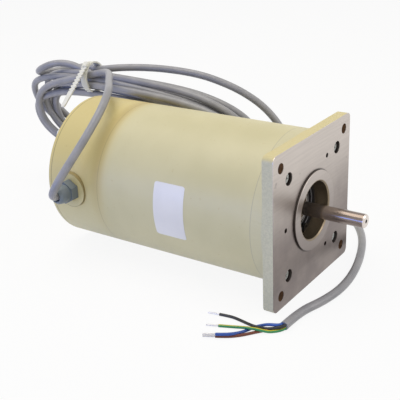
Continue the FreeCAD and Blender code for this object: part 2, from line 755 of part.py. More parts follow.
def make_screws():
    """Four screws each for the flange, the end bell and the rear cover."""
    flange_seat = "(0 - counterbore_depth)"
    flange_tip = f"({HOUSING_FRONT} - screw_grip)"
    flange = turned("flange_screw_body", screw_profile(flange_seat, "1", "screw_head") + [
        (flange_tip, "screw_thread / 2"), (flange_tip, "0")])
    rear_tip = f"({HOUSING_REAR} + screw_grip)"
    bell = turned("end_bell_screw_body", screw_profile(BELL_RIM_BACK, "0 - 1", "bell_screw_head") + [
        (rear_tip, "screw_thread / 2"), (rear_tip, "0")])
    cover = turned("cover_screw_body", screw_profile(PLATE_REAR, "0 - 1", "screw_head") + [
        (rear_tip, "screw_thread / 2"), (rear_tip, "0")])
    doc.recompute()
    for label, screw, inset, angles in (("flange_screws", flange, "flange_screw_inset", COVER_SCREW_ANGLES),
                                        ("end_bell_screws", bell, "bell_screw_inset", BELL_SCREW_ANGLES),
                                        ("cover_screws", cover, "cover_screw_inset", COVER_SCREW_ANGLES)):
        reach = size("body_diameter") / 2 - size(inset)
        placed = [(reach * math.cos(math.radians(a)), reach * math.sin(math.radians(a))) for a in angles]
        group(label, [shifted(screw.Shape, y, z) for y, z in placed])


def make_gland():
    """Cable gland on the cover's side: hexagon body, rubber seal, domed clamping nut and inside locknut."""
    thread_end = f"({PAD_BACK} - locknut_thickness - gland_chamfer)"
    gland = new_body("gland_body_body")
    extrude(gland, "Pad", "gland_hex_length", [hexagon("gland_hex")], at=PAD_FACE)
    revolve(gland, "Revolution", [
        (thread_end, "gland_bore / 2"), (thread_end, "gland_thread / 2"),
        (PAD_FACE, "gland_thread / 2"), (DOME_START, "gland_neck / 2"),
        (NECK_END, "gland_neck / 2"), (NECK_END, "gland_bore / 2"),
    ])
    bore = [("0", "0", "gland_bore / 2")]
    extrude(gland, "Pocket", "gland_hex_length + gland_neck_length", circles=bore, at=NECK_END)
    export("gland_body", on_gland_axis(gland))

    taper_start = f"({DOME_END} - dome_taper)"
    inside = "(gland_neck / 2 + dome_clearance)"
    dome = turned("gland_dome_nut_body", [
        (DOME_START, inside),
        (DOME_START, "dome_diameter / 2"),
        (taper_start, "dome_diameter / 2"),
        (f"{DOME_END} - dome_taper / 3", "dome_diameter / 3 + dome_mouth / 6"),
        (DOME_END, "dome_mouth / 2"),
        (DOME_END, "dome_mouth / 2 - dome_wall"),
        (f"{DOME_END} - dome_flare", CABLE_HOLE),
        (f"{NECK_END} + dome_clearance", CABLE_HOLE),
        (f"{NECK_END} + dome_clearance", inside),
    ])
    export("gland_dome_nut", on_gland_axis(dome))

    seal = turned("gland_seal_body", [
        (NECK_END, CABLE_HOLE),
        (NECK_END, "gland_bore / 2 - dome_clearance"),
        (f"{NECK_END} - seal_length", "gland_bore / 2 - dome_clearance"),
        (f"{NECK_END} - seal_length", CABLE_HOLE),
    ])
    export("gland_seal", on_gland_axis(seal))

    entry = turned("cable_entry_body", [
        (NECK_END, "0"),
        (NECK_END, "cable_diameter / 2"),
        (f"{thread_end} - cable_entry_reach", "cable_diameter / 2"),
        (f"{thread_end} - cable_entry_reach", "0"),
    ])
    export("cable_entry", on_gland_axis(entry))

    locknut = new_body("gland_locknut_body")
    thread = [("0", "0", "gland_thread / 2 + thread_clearance")]
    extrude(locknut, "Pad", "locknut_thickness", [hexagon("locknut_hex")], thread,
            at=f"{PAD_BACK} - locknut_thickness")
    export("gland_locknut", on_gland_axis(locknut))


def make_terminal_block():
    """Screw terminal block on the end bell's rear face, inside the rear cover."""
    body = new_body("terminal_block_body")
    low = f"({BLOCK_HIGH} - block_width)"
    middle = f"({BLOCK_HIGH} - block_width / 2)"
    half = "(block_length / 2)"
    outline = [(f"0 - {half}", low), (half, low), (half, BLOCK_HIGH), (f"0 - {half}", BLOCK_HIGH)]
    back = f"({BELL_RIM_BACK} - block_height)"
    extrude(body, "Pad", "block_height", [outline], at=back)
    count = round(size("terminal_count"))
    places = [f"({i} - (terminal_count - 1) / 2) * terminal_pitch" for i in range(count)]
    wells = [(place, middle, "terminal_well / 2") for place in places]
    extrude(body, "Pocket", "terminal_well_depth", circles=wells, at=f"{back} + terminal_well_depth")
    export("terminal_block", body)
    screws = new_body("terminal_screw_body")
    floor = f"({back} + terminal_well_depth)"
    extrude(screws, "Pad", "terminal_screw_height", circles=[("0", middle, "terminal_screw / 2")],
            at=f"{floor} - terminal_screw_height")
    doc.recompute()
    shifts = [(i - (count - 1) / 2) * size("terminal_pitch") for i in range(count)]
    group("terminal_screws", [shifted(screws.Shape, shift, 0) for shift in shifts])


ARC_SHARE = 0.45


def route_wire(label, points):
    """Return straight runs joined by tangent arcs, each as large as its two runs allow."""
    edges = []
    radii = []
    start = points[0]
    for before, corner, after in zip(points, points[1:], points[2:]):
        towards = (before - corner).normalize()
        onwards = (after - corner).normalize()
        half_turn = (math.pi - towards.getAngle(onwards)) / 2
        setback = ARC_SHARE * min(before.distanceToPoint(corner), after.distanceToPoint(corner))
        radius = setback / math.tan(half_turn)
        entry = corner + towards * setback
        leave = corner + onwards * setback
        middle = (towards + onwards).normalize()
        crown = corner + middle * (radius / math.cos(half_turn) - radius)
        edges.append(Part.LineSegment(start, entry).toShape())
        edges.append(Part.Arc(entry, crown, leave).toShape())
        start = leave
        radii.append(round(radius, 1))
    edges.append(Part.LineSegment(start, points[-1]).toShape())
    print(f"{label}: bend radii {radii}")
    return Part.Wire(edges)


def make_tube(label, points, diameter):
    """Sweep a round section along a route and compare its volume with section times length."""
    wire = route_wire(label, points)
    circle = Part.makeCircle(diameter / 2, points[0], points[1] - points[0])
    solid = wire.makePipeShell([Part.Wire([circle])], True, False)
    expected = math.pi * diameter ** 2 / 4 * wire.Length
    print(f"{label}: length {wire.Length:.1f}, volume ratio {solid.Volume / expected:.5f}")
    feature = doc.addObject("Part::Feature", label)
    feature.Shape = solid
    return export(label, feature)


def make_cable():
    """Supply cable: lead from the gland to the coil, then the tail on the ground with its four cores."""
    diameter = size("cable_diameter")
    strand = size("strand_diameter") / 2
    make_tube("cable_lead", [Vector(*point) for point in LEAD_ROUTE], diameter)
    make_tube("cable_tail", [Vector(*point) for point in TAIL_ROUTE], diameter)
    tips = []
    for label, route in CORE_ROUTES.items():
        points = [Vector(*point) for point in route]
        make_tube(label, points, size("core_diameter"))
        heading = (points[-1] - points[-2]).normalize()
        tips.append(Part.makeCylinder(strand, size("strand_length"), points[-1], heading))
    group("core_strands", tips)


def coil_frame():
    """Return the coil's centre and its long, upward and outward directions."""
    lean = math.radians(size("coil_lean"))
    tilt = math.radians(size("coil_tilt"))
    outward = Vector(0, math.cos(lean), math.sin(lean))
    upward = Vector(0, -math.sin(lean), math.cos(lean))
    forward = Vector(1, 0, 0)
    long_way = forward * math.cos(tilt) - upward * math.sin(tilt)
    short_way = forward * math.sin(tilt) + upward * math.cos(tilt)
    bundle = size("coil_bundle") / 2
    reach = size("body_diameter") / 2 + size("coil_clearance") + bundle
    ground = -size("body_diameter") / 2 - size("flange_overhang")
    drop = (size("coil_straight") / 2 * math.sin(tilt) + size("coil_radius")) * math.cos(lean) + bundle
    height = ground + drop + size("cable_clearance")
    rise = (height - reach * math.sin(lean)) / math.cos(lean)
    centre = outward * reach + upward * rise - forward * size("coil_shift")
    return centre, long_way, short_way, outward


def make_coil():
    """Oval coil of the spare cable, leaning on the far side of the body, as one plain bundle."""
    centre, long_way, short_way, outward = coil_frame()
    radius = size("coil_radius")
    half = size("coil_straight") / 2

    def at(along, up):
        return centre + long_way * along + short_way * up

    path = Part.Wire([
        Part.LineSegment(at(-half, radius), at(half, radius)).toShape(),
        Part.Arc(at(half, radius), at(half + radius, 0), at(half, -radius)).toShape(),
        Part.LineSegment(at(half, -radius), at(-half, -radius)).toShape(),
        Part.Arc(at(-half, -radius), at(-half - radius, 0), at(-half, radius)).toShape(),
    ])
    section = Part.Wire([Part.makeCircle(size("coil_bundle") / 2, at(-half, radius), long_way)])
    feature = doc.addObject("Part::Feature", "cable_coil")
    feature.Shape = path.makePipeShell([section], True, False)
    expected = math.pi * size("coil_bundle") ** 2 / 4 * path.Length
    print(f"cable_coil: volume ratio {feature.Shape.Volume / expected:.5f}")
    export("cable_coil", feature)


def make_tie():
    """Cable tie round the coil's upper side: band, locking head and loose end, one moulding."""
    centre, long_way, short_way, outward = coil_frame()
    middle = centre - long_way * size("tie_shift") + short_way * size("coil_radius")
    inside = size("coil_bundle") / 2 + size("cable_clearance")
    width = size("tie_width")
    thickness = size("tie_thickness")
    start = middle - long_way * (width / 2)
    band = Part.makeCylinder(inside + thickness, width, start, long_way)
    band = band.cut(Part.makeCylinder(inside, width, start, long_way))
    near = outward * -1
    head_size = size("tie_head")
    head = Part.makeBox(width + thickness, head_size, head_size / 2)
    head.translate(Vector(-(width + thickness) / 2, -head_size / 2, inside + thickness / 2))
    tail = Part.makeBox(width, size("tie_tail"), thickness)
    tail.translate(Vector(-width / 2, -size("tie_tail"), inside + thickness))
    tail.rotate(Vector(0, 0, inside + thickness), Vector(0, 0, 1), size("tie_tail_turn"))
    loose = head.fuse(tail)
    turn = math.radians(size("tie_head_turn"))
    up = (short_way * math.cos(turn) + near * math.sin(turn)).normalize()
    loose.Placement = Placement(middle, Rotation(long_way, up.cross(long_way), up, "XYZ"))
    feature = doc.addObject("Part::Feature", "cable_tie")
    feature.Shape = band.fuse(loose).removeSplitter()
    export("cable_tie", feature)


# Routes chosen by hand, point by point, from the exit to the far end
LEAD_ROUTE = [
    (-169.5, -65.5, 0.8), (-169.5, -71.0, 0.8), (-168.0, -75.3, 4.0), (-164.8, -75.0, 10.2),
    (-161.2, -71.5, 17.6), (-157.8, -65.0, 26.6), (-155.2, -55.5, 36.5), (-153.6, -43.5, 47.5),
    (-154.6, -31.5, 56.2), (-160.0, -17.5, 62.5), (-171.0, -1.5, 64.5), (-185.0, 14.5, 63.5),
    (-198.0, 31.0, 63.0), (-210.0, 43.0, 61.5), (-223.0, 49.5, 58.5), (-235.5, 51.5, 54.5),
]
TAIL_ROUTE = [
    (-231.5, 56.5, 58.3), (-214.0, 62.0, 60.8), (-191.0, 69.5, 61.6), (-168.0, 76.0, 60.6),
    (-145.0, 81.0, 58.0), (-128.0, 85.5, 53.0), (-112.0, 90.5, 46.0), (-96.0, 95.5, 35.5),
    (-84.0, 99.5, 22.0), (-75.0, 103.5, 4.0), (-67.0, 107.5, -16.0), (-57.0, 111.5, -34.0),
    (-42.5, 114.5, -47.0), (-25.5, 112.0, -51.0), (-9.0, 95.0, -51.0), (4.5, 74.0, -51.0),
    (15.0, 47.0, -51.0), (22.0, 20.0, -51.0), (24.3, -5.0, -51.0), (21.0, -27.0, -51.0),
    (14.5, -46.0, -51.0), (14.3, -66.2, -51.0),
]
CORE_ROUTES = {
    "core_black": [
        (13.2, -65.2, -52.1), (12.2, -70.0, -52.5), (8.0, -73.4, -52.9), (2.0, -74.6, -52.9),
        (-6.0, -73.6, -52.9), (-14.0, -71.9, -52.9), (-22.0, -71.0, -52.9), (-30.0, -72.2, -52.9),
    ],
    "core_earth": [
        (15.4, -65.2, -52.1), (14.4, -71.6, -52.5), (9.6, -76.1, -52.9), (2.6, -77.4, -52.9),
        (-5.0, -78.2, -52.9), (-14.0, -80.6, -52.9), (-23.0, -84.2, -52.9),
    ],
    "core_blue": [
        (13.2, -65.2, -49.9), (12.6, -70.4, -50.2), (8.8, -74.4, -50.4), (2.6, -76.0, -50.3),
        (-3.5, -79.3, -50.5), (-8.0, -85.0, -52.3), (-13.5, -89.8, -52.9), (-20.0, -93.0, -52.9),
    ],
    "core_brown": [
        (15.4, -65.2, -49.9), (15.4, -71.8, -50.6), (12.0, -77.6, -52.0), (5.4, -81.6, -52.9),
        (-1.0, -85.4, -52.9), (-6.5, -90.4, -52.9), (-12.0, -94.6, -52.9), (-18.5, -97.0, -52.9),
    ],
}


def check_and_write():
    """Stop if any object failed, then write every piece to its own file."""
    doc.recompute()
    failed = [item.Name for item in doc.Objects if "Invalid" in item.State or "Error" in item.State]
    if failed:
        raise RuntimeError(f"failed objects: {failed}")
    os.makedirs("parts", exist_ok=True)
    for label, shaped in export_shapes.items():
        if shaped.Shape.isNull() or not shaped.Shape.isValid():
            raise RuntimeError(f"{label} has no valid shape")
        shaped.Shape.exportStep(f"parts/{label}.step")
        print(f"{label}: {len(shaped.Shape.Solids)} solids, {shaped.Shape.Volume:.1f} mm3")


make_front_flange()
make_housing()
make_end_bell()
make_rear_cover()
make_rear_plate()
make_lamination("stator_core", STATOR_FRONT, STATOR_LENGTH, POLE_BORE, True)
insulator_front = f"({STATOR_FRONT} + insulator_thickness)"
make_lamination("front_insulator", insulator_front, "insulator_thickness", POLE_FOOT, False)
make_lamination("rear_insulator", STATOR_BACK, "insulator_thickness", POLE_FOOT, False)
make_windings()
make_shaft()
make_magnet()
make_rotor_cup("rotor_cup_front", ROTOR_FRONT, 0)
make_rotor_cup("rotor_cup_rear", MAGNET_BACK, FULL_TURN / size("rotor_teeth") / 2)
make_bearing("front_bearing", "(0 - bearing_recess)", FRONT_BEARING_BACK)
make_bearing("rear_bearing", REAR_BEARING_FRONT, REAR_BEARING_BACK)
make_circlip()
make_preload_washer()
make_screws()
make_gland()
make_terminal_block()
make_coil()
make_tie()
make_cable()
check_and_write()
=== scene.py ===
"""The looks of a flange-mounted stepper motor whose cable is coiled and tied behind it.

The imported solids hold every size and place. This script adds what they leave out: the cable with
its loose turns, the toothed tie, the bare label, the cross-recess screws and the stripped wire
ends. Each surface then gets a procedural finish. Lengths are metres, X runs out along the shaft,
Z is up.
"""

import logging
import math
from dataclasses import dataclass, field
from enum import Enum
from typing import Any

import bmesh
import bpy
import numpy as np
from mathutils import Matrix, Vector


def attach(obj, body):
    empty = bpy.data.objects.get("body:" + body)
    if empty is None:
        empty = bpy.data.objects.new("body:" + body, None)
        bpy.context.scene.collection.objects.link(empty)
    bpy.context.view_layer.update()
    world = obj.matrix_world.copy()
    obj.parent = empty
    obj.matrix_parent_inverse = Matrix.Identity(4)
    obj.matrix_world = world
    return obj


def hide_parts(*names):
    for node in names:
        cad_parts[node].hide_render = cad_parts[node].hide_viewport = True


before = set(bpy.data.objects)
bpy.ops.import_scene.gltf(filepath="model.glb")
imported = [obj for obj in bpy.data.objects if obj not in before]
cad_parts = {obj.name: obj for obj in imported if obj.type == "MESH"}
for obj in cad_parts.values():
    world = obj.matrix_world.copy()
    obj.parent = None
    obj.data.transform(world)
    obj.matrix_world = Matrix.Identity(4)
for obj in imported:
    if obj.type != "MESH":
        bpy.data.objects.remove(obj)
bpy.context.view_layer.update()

log = logging.getLogger("stepper_motor")

Point = tuple[float, float, float]
Route = tuple[Point, ...]
Colour = tuple[float, float, float, float]
Socket = bpy.types.NodeSocket

WHITE: Colour = (1.0, 1.0, 1.0, 1.0)
TINY = 1e-9
LEAD_ROUTE: Route = (
    (-0.1695, -0.0655, 0.0008), (-0.1695, -0.0710, 0.0008), (-0.1680, -0.0753, 0.0040),
    (-0.1648, -0.0750, 0.0102), (-0.1612, -0.0715, 0.0176), (-0.1578, -0.0650, 0.0266),
    (-0.1552, -0.0555, 0.0365), (-0.1536, -0.0435, 0.0475), (-0.1546, -0.0315, 0.0562),
    (-0.1600, -0.0175, 0.0625), (-0.1710, -0.0015, 0.0645), (-0.1850, 0.0145, 0.0635),
    (-0.1980, 0.0310, 0.0630), (-0.2100, 0.0430, 0.0615), (-0.2230, 0.0495, 0.0585),
    (-0.2355, 0.0515, 0.0545),
)
TAIL_ROUTE: Route = (
    (-0.2315, 0.0565, 0.0583), (-0.2140, 0.0620, 0.0608), (-0.1910, 0.0695, 0.0616),
    (-0.1680, 0.0760, 0.0606), (-0.1450, 0.0810, 0.0580), (-0.1280, 0.0855, 0.0530),
    (-0.1120, 0.0905, 0.0460), (-0.0960, 0.0955, 0.0355), (-0.0840, 0.0995, 0.0220),
    (-0.0750, 0.1035, 0.0040), (-0.0670, 0.1075, -0.0160), (-0.0570, 0.1115, -0.0340),
    (-0.0425, 0.1145, -0.0470), (-0.0255, 0.1120, -0.0510), (-0.0090, 0.0950, -0.0510),
    (0.0045, 0.0740, -0.0510), (0.0150, 0.0470, -0.0510), (0.0220, 0.0200, -0.0510),
    (0.0243, -0.0050, -0.0510), (0.0210, -0.0270, -0.0510), (0.0145, -0.0460, -0.0510),
    (0.0143, -0.0662, -0.0510),
)
CORE_ROUTES: dict[str, Route] = {
    "core_black": (
        (0.0154, -0.0652, -0.0499), (0.0149, -0.0683, -0.0500), (0.0122, -0.0702, -0.0506),
        (0.0089, -0.0714, -0.0517), (0.0051, -0.0727, -0.0525), (0.0016, -0.0755, -0.0511),
        (-0.0025, -0.0761, -0.0509), (-0.0081, -0.0743, -0.0517), (-0.0151, -0.0715, -0.0529),
        (-0.0220, -0.0706, -0.0529), (-0.0300, -0.0722, -0.0529),
    ),
    "core_earth": (
        (0.0154, -0.0652, -0.0521), (0.0148, -0.0678, -0.0524), (0.0130, -0.0702, -0.0527),
        (0.0109, -0.0720, -0.0529), (0.0084, -0.0741, -0.0529), (0.0053, -0.0763, -0.0520),
        (0.0020, -0.0781, -0.0509), (-0.0038, -0.0796, -0.0509), (-0.0098, -0.0799, -0.0522),
        (-0.0154, -0.0811, -0.0529), (-0.0230, -0.0842, -0.0529),
    ),
    "core_blue": (
        (0.0132, -0.0652, -0.0499), (0.0129, -0.0676, -0.0497), (0.0112, -0.0694, -0.0496),
        (0.0078, -0.0699, -0.0501), (0.0036, -0.0698, -0.0514), (0.0000, -0.0709, -0.0527),
        (-0.0019, -0.0731, -0.0529), (-0.0031, -0.0757, -0.0529), (-0.0047, -0.0800, -0.0529),
        (-0.0063, -0.0847, -0.0524), (-0.0086, -0.0905, -0.0510), (-0.0128, -0.0938, -0.0509),
        (-0.0174, -0.0963, -0.0509),
    ),
    "core_brown": (
        (0.0132, -0.0652, -0.0521), (0.0122, -0.0668, -0.0526), (0.0101, -0.0688, -0.0529),
        (0.0079, -0.0712, -0.0529), (0.0051, -0.0741, -0.0529), (0.0025, -0.0772, -0.0529),
        (-0.0006, -0.0812, -0.0529), (-0.0043, -0.0861, -0.0529), (-0.0085, -0.0902, -0.0529),
        (-0.0130, -0.0932, -0.0529), (-0.0179, -0.0957, -0.0529),
    ),
}


def shade(red: int, green: int, blue: int) -> Colour:
    """Gives the linear colour of a screen colour written as three numbers up to 255."""

    def linear(level: int) -> float:
        """Undoes the screen's curve for one channel."""
        part = level / 255.0
        return part / 12.92 if part <= 0.04045 else ((part + 0.055) / 1.055) ** 2.4

    return (linear(red), linear(green), linear(blue), 1.0)


class Graph:
    """A node tree with short calls to add and join nodes."""

    def __init__(self, tree: bpy.types.NodeTree) -> None:
        """Keeps the tree that the calls work on."""
        self.tree = tree

    def add(self, kind: str, inputs: dict[Any, Any] | None = None, **settings: Any) -> bpy.types.Node:
        """Adds one node.

        Args:
            kind: Blender's name for the node type.
            inputs: values or sockets for its inputs, by name or by number.
            settings: the node's own properties.

        Returns:
            The new node.
        """
        node = self.tree.nodes.new(kind)
        for name, value in settings.items():
            setattr(node, name, value)
        for key, value in (inputs or {}).items():
            self.feed(node.inputs[key], value)
        return node

    def out(self, kind: str, inputs: dict[Any, Any] | None = None, **settings: Any) -> Socket:
        """Adds one node and returns its first result."""
        return self.add(kind, inputs, **settings).outputs[0]

    def declare(self, way: str, kinds: dict[str, str]) -> None:
        """Gives a group's tree its inputs or outputs, by name and kind."""
        for name, kind in kinds.items():
            self.tree.interface.new_socket(name, in_out=way, socket_type="NodeSocket" + kind)

    def join(self, *parts: Socket) -> Socket:
        """Joins several geometries into one."""
        node = self.add("GeometryNodeJoinGeometry")
        for part in parts:
            self.feed(node.inputs[0], part)
        return node.outputs[0]

    def feed(self, socket: Socket, value: Any) -> None:
        """Joins a socket to another one, or sets its own value."""
        if isinstance(value, bpy.types.NodeSocket):
            self.tree.links.new(value, socket)
        else:
            socket.default_value = value

    def math(self, operation: str, *values: Any) -> Socket:
        """Adds a Math node on the given values and returns its result."""
        return self.out("ShaderNodeMath", dict(enumerate(values)), operation=operation)

    def times(self, first: Any, second: Any) -> Socket:
        """Returns the product of two values."""
        return self.math("MULTIPLY", first, second)

    def either(self, first: Any, second: Any) -> Socket:
        """Returns the larger of two values."""
        return self.math("MAXIMUM", first, second)

    def split(self, vector: Any) -> list[Socket]:
        """Returns a vector's three coordinates."""
        return list(self.add("ShaderNodeSeparateXYZ", {0: vector}).outputs)

    def vector(self, x: Any, y: Any, z: Any) -> Socket:
        """Joins three values into a vector."""
        return self.out("ShaderNodeCombineXYZ", {0: x, 1: y, 2: z})

    def step(self, value: Any, low: float, high: float) -> Socket:
        """Returns a mask that rises smoothly from 0 at low to 1 at high."""
        inputs = {"Value": value, "From Min": low, "From Max": high}
        return self.out("ShaderNodeMapRange", inputs, interpolation_type="SMOOTHSTEP")

    def line(self, value: Any, middle: float, half: float) -> Socket:
        """Returns a mask that is 1 at the middle value and fades out within half on each side."""
        away = self.math("ABSOLUTE", self.math("SUBTRACT", value, middle))
        return self.math("SUBTRACT", 1.0, self.step(away, 0.0, half))

    def radius(self, first: Any, second: Any) -> Socket:
        """Returns the distance from an axis, from the two coordinates across it."""
        return self.math("SQRT", self.math("ADD", self.times(first, first), self.times(second, second)))

    def blend(self, mask: Any, first: Any, second: Any) -> Socket:
        """Returns the first colour where the mask is 0 and the second where it is 1."""
        node = self.add("ShaderNodeMix", data_type="RGBA")
        for socket, value in zip((node.inputs[0], node.inputs[6], node.inputs[7]), (mask, first, second)):
            self.feed(socket, value)
        return node.outputs[2]


def blank(holder: bpy.types.ID) -> Graph:
    """Turns on the nodes of a material or a world and empties its tree."""
    holder.use_nodes = True
    holder.node_tree.nodes.clear()
    return Graph(holder.node_tree)


class Effect(Enum):
    """Surface effects that several finishes share, each a node group with one mask."""

    DRIFT = "drift_of_tone"
    GRAIN = "fine_grain"
    TURNED = "turned_rings"
    BRUSHED = "brushed_lines"
    SPECKS = "dark_specks"

    def group(self) -> bpy.types.NodeTree:
        """Returns the effect's node group, built on its first use."""
        found = bpy.data.node_groups.get(self.value)
        if found:
            return found
        graph = Graph(bpy.data.node_groups.new(self.value, "ShaderNodeTree"))
        graph.declare("INPUT", {"Vector": "Vector", "Scale": "Float"})
        graph.declare("OUTPUT", {"Mask": "Float"})
        given = graph.add("NodeGroupInput").outputs
        graph.add("NodeGroupOutput", {"Mask": self.mask(graph, given["Vector"], given["Scale"])})
        return graph.tree

    def mask(self, graph: Graph, vector: Socket, scale: Socket) -> Socket:
        """Builds the effect's own nodes.

        Args:
            graph: the group's tree.
            vector: the place on the surface.
            scale: how fine the effect is, in repeats per metre.

        Returns:
            The socket that holds the mask.
        """
        if self is Effect.DRIFT:
            return graph.step(self.noise(graph, vector, scale, 4.0), 0.32, 0.68)
        if self is Effect.GRAIN:
            return graph.step(self.noise(graph, vector, scale, 6.0), 0.25, 0.75)
        if self is Effect.SPECKS:
            return graph.step(self.noise(graph, vector, scale, 2.0), 0.68, 0.78)
        if self is Effect.TURNED:
            part = graph.split(vector)
            along = graph.math("ADD", graph.radius(part[1], part[2]), part[0])
            inputs = {"W": along, "Scale": scale, "Detail": 3.0}
            return graph.step(graph.out("ShaderNodeTexNoise", inputs, noise_dimensions="1D"), 0.3, 0.7)
        flat = graph.out("ShaderNodeVectorMath", {0: vector, 1: (1.0, 0.04, 1.0)}, operation="MULTIPLY")
        return graph.step(self.noise(graph, flat, scale, 5.0), 0.3, 0.7)

    def noise(self, graph: Graph, vector: Socket, scale: Socket, detail: float) -> Socket:
        """Adds a noise texture and returns its value."""
        return graph.out("ShaderNodeTexNoise", {"Vector": vector, "Scale": scale, "Detail": detail})

    def place(self, graph: Graph, vector: Socket, scale: float) -> Socket:
        """Places the effect in a material and returns its mask."""
        return graph.out("ShaderNodeGroup", {"Vector": vector, "Scale": scale}, node_tree=self.group())


@dataclass(frozen=True)
class Finish:
    """A finish of two tones that drift into each other, with a grain and a gloss.

    gloss is the roughness at the grain's low and high places, and grain_depth its height in metres.
    """

    name: str
    main: Colour
    drift: Colour
    gloss: tuple[float, float]
    metallic: float = 0.0
    grain: Effect = Effect.GRAIN
    grain_scale: float = 900.0
    grain_depth: float = 0.00002
    drift_scale: float = 40.0

    def material(self) -> bpy.types.Material:
        """Returns the finish as a material, built on its first use."""
        found = bpy.data.materials.get(self.name)
        if found:
            return found
        made = bpy.data.materials.new(self.name)
        graph = blank(made)
        place = graph.add("ShaderNodeTexCoord").outputs["Object"]
        shader = graph.add("ShaderNodeBsdfPrincipled", {"Metallic": self.metallic})
        graph.add("ShaderNodeOutputMaterial", {"Surface": shader.outputs[0]})
        self.dress(graph, place, shader)
        return made

    def dress(self, graph: Graph, place: Socket, shader: bpy.types.Node) -> None:
        """Feeds the shader with the finish's tones, gloss and grain.

        Args:
            graph: the material's tree.
            place: Object coordinates.
            shader: the Principled shader to feed.
        """
        graph.feed(shader.inputs["Base Color"], self.tones(graph, place))
        self.gloss_and_bump(graph, shader, self.grain.place(graph, place, self.grain_scale))

    def tones(self, graph: Graph, place: Socket) -> Socket:
        """Returns the two tones, one drifting into the other."""
        return graph.blend(Effect.DRIFT.place(graph, place, self.drift_scale), self.main, self.drift)

    def gloss_and_bump(self, graph: Graph, shader: bpy.types.Node, grain: Socket) -> None:
        """Feeds the shader's roughness and normal from a grain mask."""
        span = {"Value": grain, "To Min": self.gloss[0], "To Max": self.gloss[1]}
        graph.feed(shader.inputs["Roughness"], graph.out("ShaderNodeMapRange", span))
        bump = graph.out("ShaderNodeBump", {"Strength": 0.6, "Distance": self.grain_depth, "Height": grain})
        graph.feed(shader.inputs["Normal"], bump)


@dataclass(frozen=True)
class EnamelFinish(Finish):
    """Cream enamel with dark seams, a line round the gland's pad, and painted warm light and painted shade
    on the rear cover.
    """

    # Warmer tone on the rear cover's upper half: partly the cover's own warmer paint, partly painted warm
    # light from above.
    cover: Colour = shade(214, 197, 132)
    # Darker tone of the dark specks and of the painted shade along the cover's front seam.
    hole_speck_and_seam_shade: Colour = shade(186, 164, 100)
    seam: Colour = shade(122, 106, 70)
    cover_front: float = -0.145
    plate_front: float = -0.1896
    gland: tuple[float, float] = (-0.1695, 0.0008)
    pad: float = 0.0131
    seam_half: float = 0.0005
    upper_half: tuple[float, float] = (-0.040, 0.030)
    speck_scale: float = 260.0

    def tones(self, graph: Graph, place: Socket) -> Socket:
        """Returns the enamel's tones with its seams, painted warm light on the cover's top and painted
        shade at its front seam.
        """
        part = graph.split(place)
        upper = graph.step(part[2], *self.upper_half)
        # Painted warm light: the cover's warmer tone lies only on its upper half.
        behind = graph.step(part[0], self.cover_front + 0.012, self.cover_front - 0.006)
        body = graph.blend(graph.times(behind, upper), super().tones(graph, place), self.cover)
        # Painted shade: a darker band along the cover's front seam, on its upper half only.
        seam_shade = graph.times(graph.line(part[0], self.cover_front - 0.001, 0.008), upper)
        body = graph.blend(graph.times(seam_shade, 0.6), body, self.hole_speck_and_seam_shade)
        ring = graph.radius(graph.math("SUBTRACT", part[0], self.gland[0]),
                            graph.math("SUBTRACT", part[2], self.gland[1]))
        ring = graph.times(graph.line(ring, self.pad, self.seam_half), graph.step(part[1], -0.02, -0.04))
        seams = graph.either(ring, graph.line(part[0], self.plate_front, self.seam_half))
        faint = graph.times(graph.line(part[0], self.cover_front, 0.8 * self.seam_half), 0.5)
        body = graph.blend(graph.times(graph.either(seams, faint), 0.75), body, self.seam)
        specks = graph.times(Effect.SPECKS.place(graph, place, self.speck_scale), 0.25)
        return graph.blend(specks, body, self.hole_speck_and_seam_shade)


